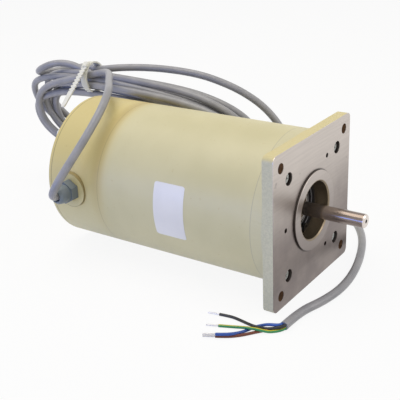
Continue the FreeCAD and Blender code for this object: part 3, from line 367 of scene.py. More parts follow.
@dataclass(frozen=True)
class FlangeFinish(Finish):
    """Bare ground metal on the front, dark brown in its mounting holes with painted shade in its screw
    recesses, and rough paint on the casting's skin.
    """

    pilot: Colour = shade(147, 137, 132)
    # Lighter tone towards the top of the front: painted light.
    top_light: Colour = shade(212, 203, 195)
    stain: Colour = shade(112, 104, 103)
    # Painted shade in the screw recesses and in a ring round the pilot's foot.
    recess_shade: Colour = shade(58, 50, 46)
    # Own dark brown of the mounting holes' walls.
    hole_speck_and_seam_shade: Colour = shade(124, 96, 72)
    bore: Colour = shade(138, 124, 103)
    skin: Colour = shade(212, 208, 180)
    skin_drift: Colour = shade(198, 195, 168)
    # Warmer tone on the skin's top faces: painted warm light from above.
    skin_lit_top: Colour = shade(214, 201, 148)
    boss: Colour = shade(210, 203, 165)
    half: float = 0.0536
    corner: float = 0.0690
    back: float = -0.0078
    pilot_radius: float = 0.02776
    bore_radius: float = 0.0210
    bolt_reach: float = 0.0392
    top: tuple[float, float] = (0.0500, 0.0532)
    boss_front: float = -0.0084
    joint: float = -0.0176
    skin_grain: tuple[float, float] = (900.0, 480.0)
    speck_scale: float = 130.0

    def dress(self, graph: Graph, place: Socket, shader: bpy.types.Node) -> None:
        """Feeds bare metal on the front and in the holes, and paint on the sides and the back."""
        part = graph.split(place)
        reach = graph.either(graph.math("ABSOLUTE", part[1]), graph.math("ABSOLUTE", part[2]))
        round_reach = graph.radius(part[1], part[2])
        face = graph.step(part[0], -0.0005, -0.0003)
        within = graph.times(graph.step(reach, self.half, self.half - 0.0004),
                             graph.step(part[0], self.back - 0.0001, self.back + 0.0001))
        within = graph.times(within, graph.step(round_reach, self.corner + 0.0005, self.corner))
        bore = graph.step(round_reach, self.bore_radius + 0.0002, self.bore_radius)
        front = graph.either(face, bore)
        bare = graph.either(front, within)
        holes = graph.times(within, graph.math("SUBTRACT", 1.0, front))
        bolts = graph.step(reach, self.bolt_reach, self.bolt_reach + 0.0006)
        metal = graph.blend(bore, self.metal(graph, place, part, round_reach), self.bore)
        # Painted shade on the screw recesses' walls; the mounting holes keep their own dark brown.
        metal = graph.blend(holes, metal, graph.blend(bolts, self.recess_shade, self.hole_speck_and_seam_shade))
        skin = graph.blend(Effect.GRAIN.place(graph, place, self.skin_grain[0]), self.skin_drift, self.skin)
        # Painted warm light on the skin's top faces.
        skin = graph.blend(graph.step(part[2], *self.top), skin, self.skin_lit_top)
        skin = graph.blend(graph.step(part[0], self.boss_front, self.boss_front - 0.0016), skin, self.boss)
        skin = graph.blend(graph.times(graph.line(part[0], self.joint, 0.0007), 0.30), skin, self.stain)
        graph.feed(shader.inputs["Base Color"], graph.blend(bare, skin, metal))
        graph.feed(shader.inputs["Metallic"], graph.times(graph.math("SUBTRACT", bare, holes), 0.85))
        fine = graph.times(Effect.BRUSHED.place(graph, place, self.grain_scale), graph.times(bare, 0.07))
        rough = graph.times(Effect.GRAIN.place(graph, place, self.skin_grain[1]),
                            graph.math("SUBTRACT", 1.0, bare))
        self.gloss_and_bump(graph, shader, graph.math("ADD", fine, rough))

    def metal(self, graph: Graph, place: Socket, part: list[Socket], reach: Socket) -> Socket:
        """Returns the bare metal's colour.

        Args:
            graph: the material's tree.
            place: Object coordinates.
            part: the same, one by one.
            reach: the distance from the shaft's axis.

        Returns:
            Ground metal with stains, painted light towards the top, a lighter pilot ring and painted shade
            round the pilot's foot.
        """
        ground = graph.blend(graph.step(part[0], 0.0011, 0.0013), self.tones(graph, place), self.pilot)
        # Painted light: the front lightens towards its top.
        ground = graph.blend(graph.times(graph.step(part[2], -0.020, 0.050), 0.9), ground, self.top_light)
        lines = graph.times(Effect.BRUSHED.place(graph, place, self.grain_scale), 0.12)
        ground = graph.blend(lines, ground, self.stain)
        spots = graph.times(Effect.SPECKS.place(graph, place, self.speck_scale), 0.5)
        ground = graph.blend(spots, ground, self.stain)
        # Painted shade in a ring round the pilot's foot.
        foot = graph.times(graph.line(reach, self.pilot_radius + 0.0002, 0.0012),
                           graph.step(part[0], 0.0014, 0.0012))
        return graph.blend(graph.times(foot, 0.85), ground, self.recess_shade)


@dataclass(frozen=True)
class ShaftFinish(Finish):
    """Ground steel with painted shade towards the bore and in its centre hole, bright on its end."""

    # Painted shade: the steel darkens towards the bore.
    dark: Colour = shade(138, 126, 116)
    end: Colour = shade(226, 216, 208)
    # Painted shade standing in the centre hole.
    centre_hole_shade: Colour = shade(44, 38, 36)
    tip: float = 0.0381
    hole_radius: float = 0.0013
    bore_shading: tuple[float, float] = (0.036, 0.002)

    def tones(self, graph: Graph, place: Socket) -> Socket:
        """Returns the steel's tones along the shaft."""
        part = graph.split(place)
        # Painted shade towards the bore.
        steel = graph.blend(graph.step(part[0], *self.bore_shading), super().tones(graph, place), self.dark)
        steel = graph.blend(graph.step(part[0], self.tip - 0.0012, self.tip - 0.0005), steel, self.end)
        # Painted shade: a dark disc in the centre hole.
        centre = graph.step(graph.radius(part[1], part[2]), self.hole_radius + 0.00015, self.hole_radius)
        return graph.blend(centre, steel, self.centre_hole_shade)


@dataclass(frozen=True)
class ShieldFinish(Finish):
    """A bearing's bright outer ring, with its dark shield and the shield's bright rolled rim."""

    shield: Colour = shade(58, 54, 54)
    outer: float = 0.0168
    rim: float = 0.0139

    def tones(self, graph: Graph, place: Socket) -> Socket:
        """Returns the tones in rings round the shaft."""
        part = graph.split(place)
        reach = graph.radius(part[1], part[2])
        dark = graph.math("SUBTRACT", graph.step(reach, self.outer + 0.0002, self.outer),
                          graph.line(reach, self.rim, 0.0007))
        return graph.blend(dark, super().tones(graph, place), self.shield)


@dataclass(frozen=True)
class StripedFinish(Finish):
    """Two colours side by side along a core, as on an earth wire."""

    upward: Point = (0.0, 0.55, 0.83)
    border: tuple[float, float] = (0.38, 0.48)

    def tones(self, graph: Graph, place: Socket) -> Socket:
        """Returns one colour on the side that faces up and back, and the other below."""
        normal = graph.add("ShaderNodeNewGeometry").outputs["Normal"]
        facing = graph.add("ShaderNodeVectorMath", {0: normal, 1: self.upward}, operation="DOT_PRODUCT")
        return graph.blend(graph.step(facing.outputs["Value"], *self.border), self.main, self.drift)


class Stock:
    """The finishes that the motor's pieces are made in."""

    CREAM = EnamelFinish("cream_enamel", shade(212, 204, 162), shade(206, 198, 155), (0.36, 0.5),
                         grain_scale=600.0, drift_scale=25.0)
    FLANGE = FlangeFinish("ground_flange", shade(126, 115, 111), shade(143, 132, 126), (0.34, 0.6),
                          grain_scale=700.0, grain_depth=0.0002, drift_scale=55.0)
    BELL = Finish("cast_bell", shade(176, 176, 172), shade(160, 160, 157), (0.4, 0.6), metallic=1.0)
    SHAFT = ShaftFinish("ground_shaft", shade(144, 130, 122), shade(132, 119, 111), (0.13, 0.20),
                        metallic=0.75, grain=Effect.TURNED, grain_scale=2500.0, grain_depth=0.000001)
    STEEL = Finish("bearing_chrome", shade(206, 206, 208), shade(184, 184, 186), (0.2, 0.34), metallic=0.6,
                   grain=Effect.TURNED, grain_scale=2500.0, grain_depth=0.000004)
    SHIELD = ShieldFinish("bearing_shields", STEEL.main, STEEL.drift, STEEL.gloss, STEEL.metallic,
                          STEEL.grain, STEEL.grain_scale, STEEL.grain_depth)
    LAMINATION = Finish("core_sheets", shade(112, 110, 108), shade(92, 90, 88), (0.4, 0.6), metallic=0.9,
                        grain=Effect.TURNED, grain_scale=2000.0)
    NYLON = Finish("slot_nylon", shade(232, 231, 224), shade(222, 221, 214), (0.35, 0.5))
    COPPER = Finish("copper_windings", shade(176, 92, 46), shade(150, 74, 36), (0.28, 0.5), metallic=0.7,
                    grain=Effect.TURNED, grain_scale=1500.0, grain_depth=0.0002)
    MAGNET = Finish("sintered_magnet", shade(74, 74, 76), shade(60, 60, 62), (0.5, 0.7))
    SPRING = Finish("blued_spring", shade(84, 82, 82), shade(64, 62, 62), (0.3, 0.45), metallic=0.9)
    SCREW = Finish("zinc_screw", shade(226, 229, 226), shade(200, 203, 198), (0.3, 0.45), metallic=0.4)
    GLAND = Finish("grey_polyamide", shade(118, 128, 136), shade(106, 116, 124), (0.34, 0.46))
    RUBBER = Finish("soft_rubber", shade(48, 50, 54), shade(40, 42, 46), (0.55, 0.7))
    TERMINAL = Finish("green_terminal", shade(62, 96, 70), shade(54, 86, 62), (0.4, 0.55))
    JACKET = Finish("grey_jacket", shade(158, 157, 160), shade(146, 146, 150), (0.28, 0.40),
                    drift_scale=90.0, grain_scale=1400.0, grain_depth=0.00003)
    TIE = Finish("natural_nylon", shade(236, 235, 226), shade(224, 223, 212), (0.32, 0.45))
    LABEL = Finish("label_film", shade(238, 236, 232), shade(232, 230, 226), (0.3, 0.42))
    CORE_BLACK = Finish("black_sleeve", shade(34, 34, 36), shade(26, 26, 28), (0.34, 0.46))
    CORE_EARTH = StripedFinish("earth_sleeve", shade(52, 142, 86), shade(196, 186, 44), (0.34, 0.46))
    CORE_BLUE = Finish("blue_sleeve", shade(48, 92, 176), shade(40, 80, 160), (0.34, 0.46))
    CORE_BROWN = Finish("brown_sleeve", shade(122, 62, 40), shade(106, 52, 34), (0.34, 0.46))
    TINNED = Finish("tinned_wire", shade(232, 231, 232), shade(214, 212, 212), (0.25, 0.4), metallic=0.4)


def link(name: str, data: bpy.types.ID) -> bpy.types.Object:
    """Puts mesh or curve data in the scene as an object at the origin."""
    piece = bpy.data.objects.new(name, data)
    bpy.context.scene.collection.objects.link(piece)
    return piece


def settle(piece: bpy.types.Object, slot: str, *nodes: str) -> bpy.types.Object:
    """Joins a finished piece to the motor's standing body.

    Args:
        piece: the finished piece.
        slot: the record's material slot.
        nodes: the solids that it stands for.

    Returns:
        The same piece.
    """
    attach(piece, "stator")
    if nodes:
        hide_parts(*nodes)
    log.info("%s takes %s and stands for %s", piece.name, slot, ", ".join(nodes) or "no solid")
    return piece


def mesh_of(name: str, form: bmesh.types.BMesh, finish: Finish, smooth: bool = True) -> bpy.types.Mesh:
    """Turns a bmesh into a mesh in one finish with its faces outward."""
    bmesh.ops.recalc_face_normals(form, faces=form.faces)
    mesh = bpy.data.meshes.new(name)
    form.to_mesh(mesh)
    form.free()
    if smooth:
        mesh.shade_smooth()
    else:
        mesh.shade_flat()
    mesh.materials.clear()
    mesh.materials.append(finish.material())
    return mesh


def nurbs(name: str, points: list[Vector], diameter: float, finish: Finish,
          steps: int = 10) -> bpy.types.Object:
    """Draws a round cord along one open NURBS spline.

    Args:
        name: the piece's name.
        points: the spline's control points.
        diameter: the cord's diameter.
        finish: what the cord is made in.
        steps: how many pieces each span is drawn in.

    Returns:
        The curve object.
    """
    curve = bpy.data.curves.new(name, "CURVE")
    curve.dimensions = "3D"
    curve.bevel_depth = diameter / 2.0
    curve.bevel_resolution = 6
    curve.use_fill_caps = True
    spline = curve.splines.new("NURBS")
    spline.points.add(len(points) - 1)
    for point, place in zip(spline.points, points):
        point.co = (*place, 1.0)
    spline.order_u = 3
    spline.use_endpoint_u = True
    spline.resolution_u = steps
    curve.materials.append(finish.material())
    return link(name, curve)


def ease(share: float) -> float:
    """Returns a smooth rise from 0 to 1."""
    share = min(max(share, 0.0), 1.0)
    return share * share * (3.0 - 2.0 * share)


def power(value: float, exponent: float) -> float:
    """Returns a power that keeps the value's sign."""
    return math.copysign(abs(value) ** exponent, value)


@dataclass
class Pattern:
    """A Geometry Nodes tree with named inputs for its sizes, baked into a plain mesh."""

    name: str
    finish: Finish
    sizes: dict[str, float]

    def lay(self, graph: Graph, given: dict[str, Socket]) -> Socket:
        """Builds the pattern's own nodes.

        Args:
            graph: the pattern's tree.
            given: the tree's inputs by name.

        Returns:
            The socket with the pattern's geometry.
        """
        raise NotImplementedError

    def tree(self) -> bpy.types.NodeTree:
        """Builds the tree, from its named inputs to the realized and dressed geometry."""
        graph = Graph(bpy.data.node_groups.new(self.name, "GeometryNodeTree"))
        floats = dict.fromkeys(self.sizes, "Float")
        graph.declare("INPUT", {"Start": "Geometry", **floats, "Finish": "Material"})
        graph.declare("OUTPUT", {"Result": "Geometry"})
        given = {socket.name: socket for socket in graph.add("NodeGroupInput").outputs}
        real = graph.out("GeometryNodeRealizeInstances", {0: self.lay(graph, given)})
        dressed = graph.out("GeometryNodeSetMaterial", {"Geometry": real, "Material": given["Finish"]})
        graph.add("NodeGroupOutput", {"Result": dressed})
        return graph.tree

    def bake(self, start: bpy.types.ID) -> bpy.types.Mesh:
        """Runs the tree.

        Args:
            start: the mesh or curve that the tree starts from.

        Returns:
            The result as a plain mesh.
        """
        carrier = link(self.name + "_carrier", start)
        modifier = carrier.modifiers.new(self.name, "NODES")
        modifier.node_group = self.tree()
        values = {**self.sizes, "Finish": self.finish.material()}
        for item in modifier.node_group.interface.items_tree:
            if item.in_out == "INPUT" and item.name in values:
                modifier[item.identifier] = values[item.name]
        shown = carrier.evaluated_get(bpy.context.evaluated_depsgraph_get())
        mesh = bpy.data.meshes.new_from_object(shown)
        carrier.modifiers.remove(modifier)
        bpy.data.objects.remove(carrier)
        return mesh


class ScrewSquare(Pattern):
    """Four pan-head screws with a cross recess, one at each corner of a square round the shaft.

    crown is the width of a head's top as a share of its foot, and sunk the recess's share of its
    height.
    """

    crown = 0.82
    sunk = 0.65

    def lay(self, graph: Graph, given: dict[str, Socket]) -> Socket:
        """Builds one screw and sets it at the square's corners, each turned by its own amount."""
        side = graph.times(given["Half Spacing"], 2.0)
        square = graph.out("GeometryNodeMeshGrid", {
            "Size X": side, "Size Y": side, "Vertices X": 2, "Vertices Y": 2})
        upright = graph.out("GeometryNodeTransform", {
            "Geometry": square, "Translation": graph.vector(given["Seat"], 0.0, 0.0),
            "Rotation": (0.0, math.pi / 2.0, 0.0)})
        facing = graph.times(given["Facing"], math.pi / 2.0)
        screws = graph.out("GeometryNodeInstanceOnPoints", {
            "Points": graph.out("GeometryNodeMeshToPoints", {"Mesh": upright}),
            "Instance": self.screw(graph, given), "Rotation": graph.vector(0.0, facing, 0.0)})
        chance = graph.add("FunctionNodeRandomValue", {3: math.pi / 2.0, "Seed": 7}, data_type="FLOAT")
        return graph.out("GeometryNodeRotateInstances", {
            "Instances": screws, "Rotation": graph.vector(0.0, 0.0, chance.outputs[1]),
            "Local Space": True})

    def screw(self, graph: Graph, given: dict[str, Socket]) -> Socket:
        """Returns one screw that stands on its seat, with its thread below."""
        head = graph.out("GeometryNodeMeshCone", {
            "Vertices": 40, "Radius Top": graph.times(given["Head Radius"], self.crown),
            "Radius Bottom": given["Head Radius"], "Depth": given["Head Height"]})
        cut = graph.add("GeometryNodeMeshBoolean", {"Mesh 1": head}, operation="DIFFERENCE")
        deep = graph.times(given["Head Height"], 2.0 * self.sunk)
        top = graph.vector(0.0, 0.0, given["Head Height"])
        for reach, width in (("Recess Length", "Recess Width"), ("Recess Width", "Recess Length")):
            size = graph.vector(given[reach], given[width], deep)
            arm = graph.out("GeometryNodeMeshCube", {"Size": size})
            raised = graph.out("GeometryNodeTransform", {"Geometry": arm, "Translation": top})
            graph.feed(cut.inputs["Mesh 2"], raised)
        thread = graph.out("GeometryNodeMeshCylinder", {
            "Vertices": 24, "Radius": given["Thread Radius"], "Depth": given["Length"]})
        below = graph.vector(0.0, 0.0, graph.times(given["Length"], -0.5))
        sunk = graph.out("GeometryNodeTransform", {"Geometry": thread, "Translation": below})
        return graph.join(cut.outputs[0], sunk)


class StrippedEnds(Pattern):
    """Twisted bare strands, one bunch at each point of the start mesh, turned as the point says."""

    strands = 6

    def lay(self, graph: Graph, given: dict[str, Socket]) -> Socket:
        """Twists the strands round a middle one and sets the bunch at every point."""
        helix = graph.out("GeometryNodeCurveSpiral", {
            "Resolution": 16, "Rotations": given["Twist"], "Start Radius": given["Lay Radius"],
            "End Radius": given["Lay Radius"], "Height": given["Length"]})
        angle = graph.times(graph.out("GeometryNodeInputIndex"), math.tau / self.strands)
        outer = graph.out("GeometryNodeInstanceOnPoints", {
            "Points": graph.out("GeometryNodePoints", {"Count": self.strands}), "Instance": helix,
            "Rotation": graph.vector(0.0, 0.0, angle)})
        middle = graph.out("GeometryNodeCurvePrimitiveLine", {
            "End": graph.vector(0.0, 0.0, given["Length"])})
        lines = graph.out("GeometryNodeRealizeInstances", {0: graph.join(outer, middle)})
        wire = graph.out("GeometryNodeCurvePrimitiveCircle", {
            "Resolution": 8, "Radius": given["Strand Radius"]})
        bunch = graph.out("GeometryNodeCurveToMesh", {
            "Curve": lines, "Profile Curve": wire, "Fill Caps": True})
        turn = graph.out("GeometryNodeInputNamedAttribute", {"Name": "turn"}, data_type="FLOAT_VECTOR")
        return graph.out("GeometryNodeInstanceOnPoints", {
            "Points": graph.out("GeometryNodeMeshToPoints", {"Mesh": given["Start"]}),
            "Instance": bunch, "Rotation": turn})


class ToothedStrip(Pattern):
    """A flat strip with toothed edges along a flat curve, its width along the curve's own Z."""

    def lay(self, graph: Graph, given: dict[str, Socket]) -> Socket:
        """Widens the strip at every tooth and narrows it between them."""
        line = graph.out("GeometryNodeResampleCurve", {
            "Curve": given["Start"], "Length": graph.times(given["Tooth Pitch"], 0.5)}, mode="LENGTH")
        flat = graph.out("GeometryNodeSetCurveNormal", {"Curve": line}, mode="Z_UP")
        gap = graph.math("MODULO", graph.out("GeometryNodeInputIndex"), 2.0)
        wide = graph.math("SUBTRACT", 1.0, graph.times(gap, given["Tooth Depth"]))
        section = graph.out("GeometryNodeCurvePrimitiveQuadrilateral", {
            "Width": given["Thickness"], "Height": given["Width"]}, mode="RECTANGLE")
        return graph.out("GeometryNodeCurveToMesh", {
            "Curve": flat, "Profile Curve": section, "Scale": wide, "Fill Caps": True})


@dataclass(frozen=True)
class Turn:
    """One loose turn of the coil.

    rise and back give its place in the tie, in cable diameters above and behind the bundle's middle.
    left, right and drop are its reach to each side and its height in metres, low_back is how many
    diameters the low run lies behind the coil's plane, and lift raises its left end.
    """

    rise: float
    back: float
    left: float
    right: float
    drop: float
    low_back: float
    lift: float


@dataclass
class Coil:
    """The oval bundle of loose turns that leans on the motor's far side.

    Each turn has its steps control points, starts head_start of them past the top, crosses over to the
    next turn in the share of it that the crossing takes, and lies looser by loosening away from the tie.
    While the turns are pushed apart, gap is the distance that they keep in diameters, firmness the share
    of a lack that one round mends, stride a round's longest push and sharing what neighbours take of it.
    The rounds before calm also pull the turns home a little.
    """

    middle: Vector = field(default_factory=lambda: Vector((-0.1945, 0.06843, 0.00643)))
    lean: float = math.radians(20.0)
    tilt: float = math.radians(3.4)
    radius: float = 0.0467
    tie_shift: float = 0.043
    tie_room: float = 0.00775
    tie_grip: float = 0.016
    tie_catch: float = 0.025
    table: float = -0.054
    table_gap: float = 0.0002
    body: float = 0.0535
    body_gap: float = 0.0008
    body_ends: tuple[float, float] = (-0.197, -0.015)
    steps: int = 16
    head_start: float = 1.2
    crossing_start: float = 0.45
    crossing_length: float = 0.4
    squareness: float = 0.78
    loosening: float = 0.45
    loose_from: float = 0.010
    loose_over: float = 0.090
    rounds: int = 500
    calm: int = 200
    pull: float = 0.01
    gap: float = 1.03
    touching: float = 0.0003
    firmness: float = 0.25
    stride: float = 0.002
    sharing: float = 0.3
    turns: tuple[Turn, ...] = (
        Turn(0.35, -1.26, 0.107, 0.112, 0.082, -1.3, -0.004),
        Turn(-0.64, -1.14, 0.121, 0.108, 0.082, -0.6, 0.001),
        Turn(-1.26, -0.35, 0.105, 0.112, 0.083, 0.5, -0.002),
        Turn(-0.25, -0.10, 0.126, 0.106, 0.086, 1.2, 0.004),
        Turn(0.75, -0.45, 0.110, 0.108, 0.088, -1.0, 0.004),
        Turn(-1.14, 0.64, 0.110, 0.112, 0.086, 0.9, 0.000),
        Turn(0.60, 0.30, 0.116, 0.106, 0.092, 1.1, 0.003),
    )
    way_out: Turn = Turn(-0.35, 1.26, 0.110, 0.108, 0.088, 0.4, 0.004)
    hairpin: tuple[Point, ...] = (
        (-0.043, -0.35, 1.26), (-0.058, -0.25, 1.40), (-0.072, 0.55, 1.12), (-0.084, 0.78, 0.12),
        (-0.0955, 0.05, -0.70), (-0.1045, -1.15, -0.53), (-0.1085, -2.15, 0.82), (-0.1045, -2.75, 2.43),
        (-0.092, -2.62, 3.68), (-0.075, -1.55, 3.62), (-0.059, -0.20, 2.55),
    )

    def __post_init__(self) -> None:
        """Works out the coil's three directions."""
        self.back = Vector((0.0, math.cos(self.lean), math.sin(self.lean)))
        upward = Vector((0.0, -math.sin(self.lean), math.cos(self.lean)))
        ahead = Vector((1.0, 0.0, 0.0))
        self.along = ahead * math.cos(self.tilt) - upward * math.sin(self.tilt)
        self.up = ahead * math.sin(self.tilt) + upward * math.cos(self.tilt)

    def at(self, along: float, up: float, back: float) -> Vector:
        """Returns the place that lies so far from the coil's middle in its own directions."""
        return self.middle + self.along * along + self.up * up + self.back * back

    @property
    def tie_middle(self) -> Vector:
        """The middle of the bundle where the tie holds it."""
        return self.at(-self.tie_shift, self.radius, 0.0)

    def turn_points(self, diameter: float) -> list[Vector]:
        """Lays the turns one after another, as control points from the tie back to the tie."""
        places = []
        for turn, following in zip(self.turns, (*self.turns[1:], self.way_out)):
            for step in range(self.steps):
                share = (step + self.head_start) / self.steps
                places.append(self.turn_point(turn, following, share, diameter))
        return places

    def turn_point(self, turn: Turn, following: Turn, share: float, diameter: float) -> Vector:
        """Returns the point at a share of one turn, which drifts into the next on its way back up."""
        angle = math.radians(90.0 + 360.0 * share)
        drift = ease((share - self.crossing_start) / self.crossing_length)

        def now(name: str) -> float:
            """Returns a size of the turn at this point."""
            return getattr(turn, name) * (1.0 - drift) + getattr(following, name) * drift

        side, height = power(math.cos(angle), self.squareness), power(math.sin(angle), self.squareness)
        along = side * (now("left") if side < 0.0 else now("right"))
        away = (abs(along + self.tie_shift) - self.loose_from) / self.loose_over
        loose = diameter * (1.0 + self.loosening * ease(away))
        half = now("drop") / 2.0
        low = (1.0 - height) / 2.0
        up = self.radius + now("rise") * loose + half * (height - 1.0)
        up += now("lift") * max(0.0, -side) ** 3
        back = now("back") * loose * (1.0 - low) + now("low_back") * diameter * low
        return self.at(along, up, back)

    def hairpin_points(self, diameter: float) -> list[Vector]:
        """Returns the last pass, which folds back on itself and leaves along the top."""
        return [self.at(along, self.radius + rise * diameter, back * diameter)
                for along, rise, back in self.hairpin]

    def spread(self, points: np.ndarray, free: slice, diameter: float) -> np.ndarray:
        """Pushes the turns apart until they lie beside and on each other.

        Runs that come nearer than a diameter push each other away. Neighbouring points share a push,
        so that a turn keeps its shape.

        Args:
            points: the whole cable's control points.
            free: the turns' points, which may move.
            diameter: the cable's diameter.

        Returns:
            The points after the last round.
        """
        home = points.copy()
        pairs = np.triu_indices(len(points) - 1, k=5)
        moving = np.zeros((len(points), 1))
        moving[free] = 1.0
        for number in range(self.rounds):
            push = np.clip(self.push(points, *pairs, self.gap * diameter), -self.stride, self.stride)
            shift = points + push * moving - home
            shift[1:-1] += self.sharing * ((shift[:-2] + shift[2:]) / 2.0 - shift[1:-1])
            points = home + shift * moving * (1.0 - self.pull * max(0.0, 1.0 - number / self.calm))
            points[free] = self.hold(points[free], diameter)
        return points

    def push(self, points: np.ndarray, first: np.ndarray, second: np.ndarray, gap: float) -> np.ndarray:
        """Works out one round's push.

        Args:
            points: the control points.
            first: number of the first run in each pair of runs.
            second: number of the second run in each pair.
            gap: the distance that two runs keep.

        Returns:
            How far each point is pushed.
        """
        run, other = points[first + 1] - points[first], points[second + 1] - points[second]
        apart = points[first] - points[second]
        run_run, other_other, both = (run * run).sum(1), (other * other).sum(1), (run * other).sum(1)
        on_run, on_other = (run * apart).sum(1), (other * apart).sum(1)
        spread = np.maximum(run_run * other_other - both * both, 1e-21)
        share = np.clip((both * on_other - on_run * other_other) / spread, 0.0, 1.0)
        other_share = np.clip((both * share + on_other) / other_other, 0.0, 1.0)
        share = np.clip((both * other_share - on_run) / run_run, 0.0, 1.0)
        across = apart + run * share[:, None] - other * other_share[:, None]
        distance = np.linalg.norm(across, axis=1)
        near = distance < gap
        distance, across = distance[near, None], across[near]
        outward = across / np.maximum(distance, TINY)
        away = np.where(distance > self.touching, outward, -np.array(self.back))
        away = away * (gap - distance) * self.firmness
        moved = np.zeros_like(points)
        for runs, part, sign in ((first, share, 1.0), (second, other_share, -1.0)):
            part = part[near, None]
            np.add.at(moved, runs[near], sign * away * (1.0 - part))
            np.add.at(moved, runs[near] + 1, sign * away * part)
        return moved

    def hold(self, points: np.ndarray, diameter: float) -> np.ndarray:
        """Keeps the turns in the tie, on the table and outside the motor's body."""
        away = points - np.array(self.tie_middle)
        up, back = away @ np.array(self.up), away @ np.array(self.back)
        reach = np.maximum(np.hypot(up, back), TINY)
        tied = abs(away @ np.array(self.along)) < self.tie_grip
        tied &= (reach < self.tie_catch) & (reach > self.tie_room)
        inward = np.where(tied, 1.0 - self.tie_room / reach, 0.0)
        points = points - np.outer(up * inward, self.up) - np.outer(back * inward, self.back)
        points[:, 2] = np.maximum(points[:, 2], self.table + diameter / 2.0 + self.table_gap)
        clear = self.body + diameter / 2.0 + self.body_gap
        reach = np.hypot(points[:, 1], points[:, 2])
        rear, front = self.body_ends
        inside = (points[:, 0] > rear) & (points[:, 0] < front) & (reach < clear)
        points[inside, 1:] *= (clear / reach[inside])[:, None]
        return points


@dataclass
class Cable:
    """The grey cable, its four cores and their stripped ends."""

    diameter: float = 0.0059
    core_diameter: float = 0.0020
    strand_length: float = 0.0080
    strand_root: float = 0.001
    strand_radius: float = 0.00021
    strand_lay: float = 0.00043
    strand_twist: float = 0.6
    coil: Coil = field(default_factory=Coil)

    def build(self) -> None:
        """Builds the cable, its cores and their ends."""
        self.jacket()
        for name, route in CORE_ROUTES.items():
            core = nurbs(name + "_wire", [Vector(point) for point in route], self.core_diameter,
                         getattr(Stock, name.upper()))
            settle(core, name, name)
            self.declare(core, TAIL_ROUTE[-1], self.core_diameter, "loose")
        self.stripped_ends()

    def jacket(self) -> None:
        """Lays the jacket from the gland through the coil to its cut end."""
        lead = [Vector(point) for point in LEAD_ROUTE[:-1]]
        turns = self.coil.turn_points(self.diameter) + self.coil.hairpin_points(self.diameter)
        points = lead + turns + [Vector(point) for point in TAIL_ROUTE]
        free = slice(len(lead), len(lead) + len(turns) - 2)
        laid = self.coil.spread(np.array(points), free, self.diameter)
        piece = nurbs("cable", [Vector(point) for point in laid], self.diameter, Stock.JACKET, steps=12)
        settle(piece, "cable_jacket", "cable_lead", "cable_coil", "cable_tail")
        self.declare(piece, LEAD_ROUTE[1], self.diameter, "coiled")

    def declare(self, piece: bpy.types.Object, start: Point, diameter: float, lay: str) -> None:
        """Takes a cord, where it starts, its diameter and its lay, and does nothing with them."""

    def stripped_ends(self) -> None:
        """Twists the bare strands that stand out of the cores' ends."""
        ends = [(Vector(route[-1]), Vector(route[-1]) - Vector(route[-2]))
                for route in CORE_ROUTES.values()]
        start = bpy.data.meshes.new("core_ends")
        start.from_pydata([place - along.normalized() * self.strand_root for place, along in ends], [], [])
        turn = start.attributes.new("turn", "FLOAT_VECTOR", "POINT")
        for item, (_, along) in zip(turn.data, ends):
            item.vector = along.to_track_quat("Z", "Y").to_euler()
        sizes = {"Strand Radius": self.strand_radius, "Lay Radius": self.strand_lay,
                 "Length": self.strand_length + self.strand_root, "Twist": self.strand_twist}
        mesh = StrippedEnds("stripped_ends", Stock.TINNED, sizes).bake(start)
        settle(link("wire_ends", mesh), "tinned_copper", "core_strands")


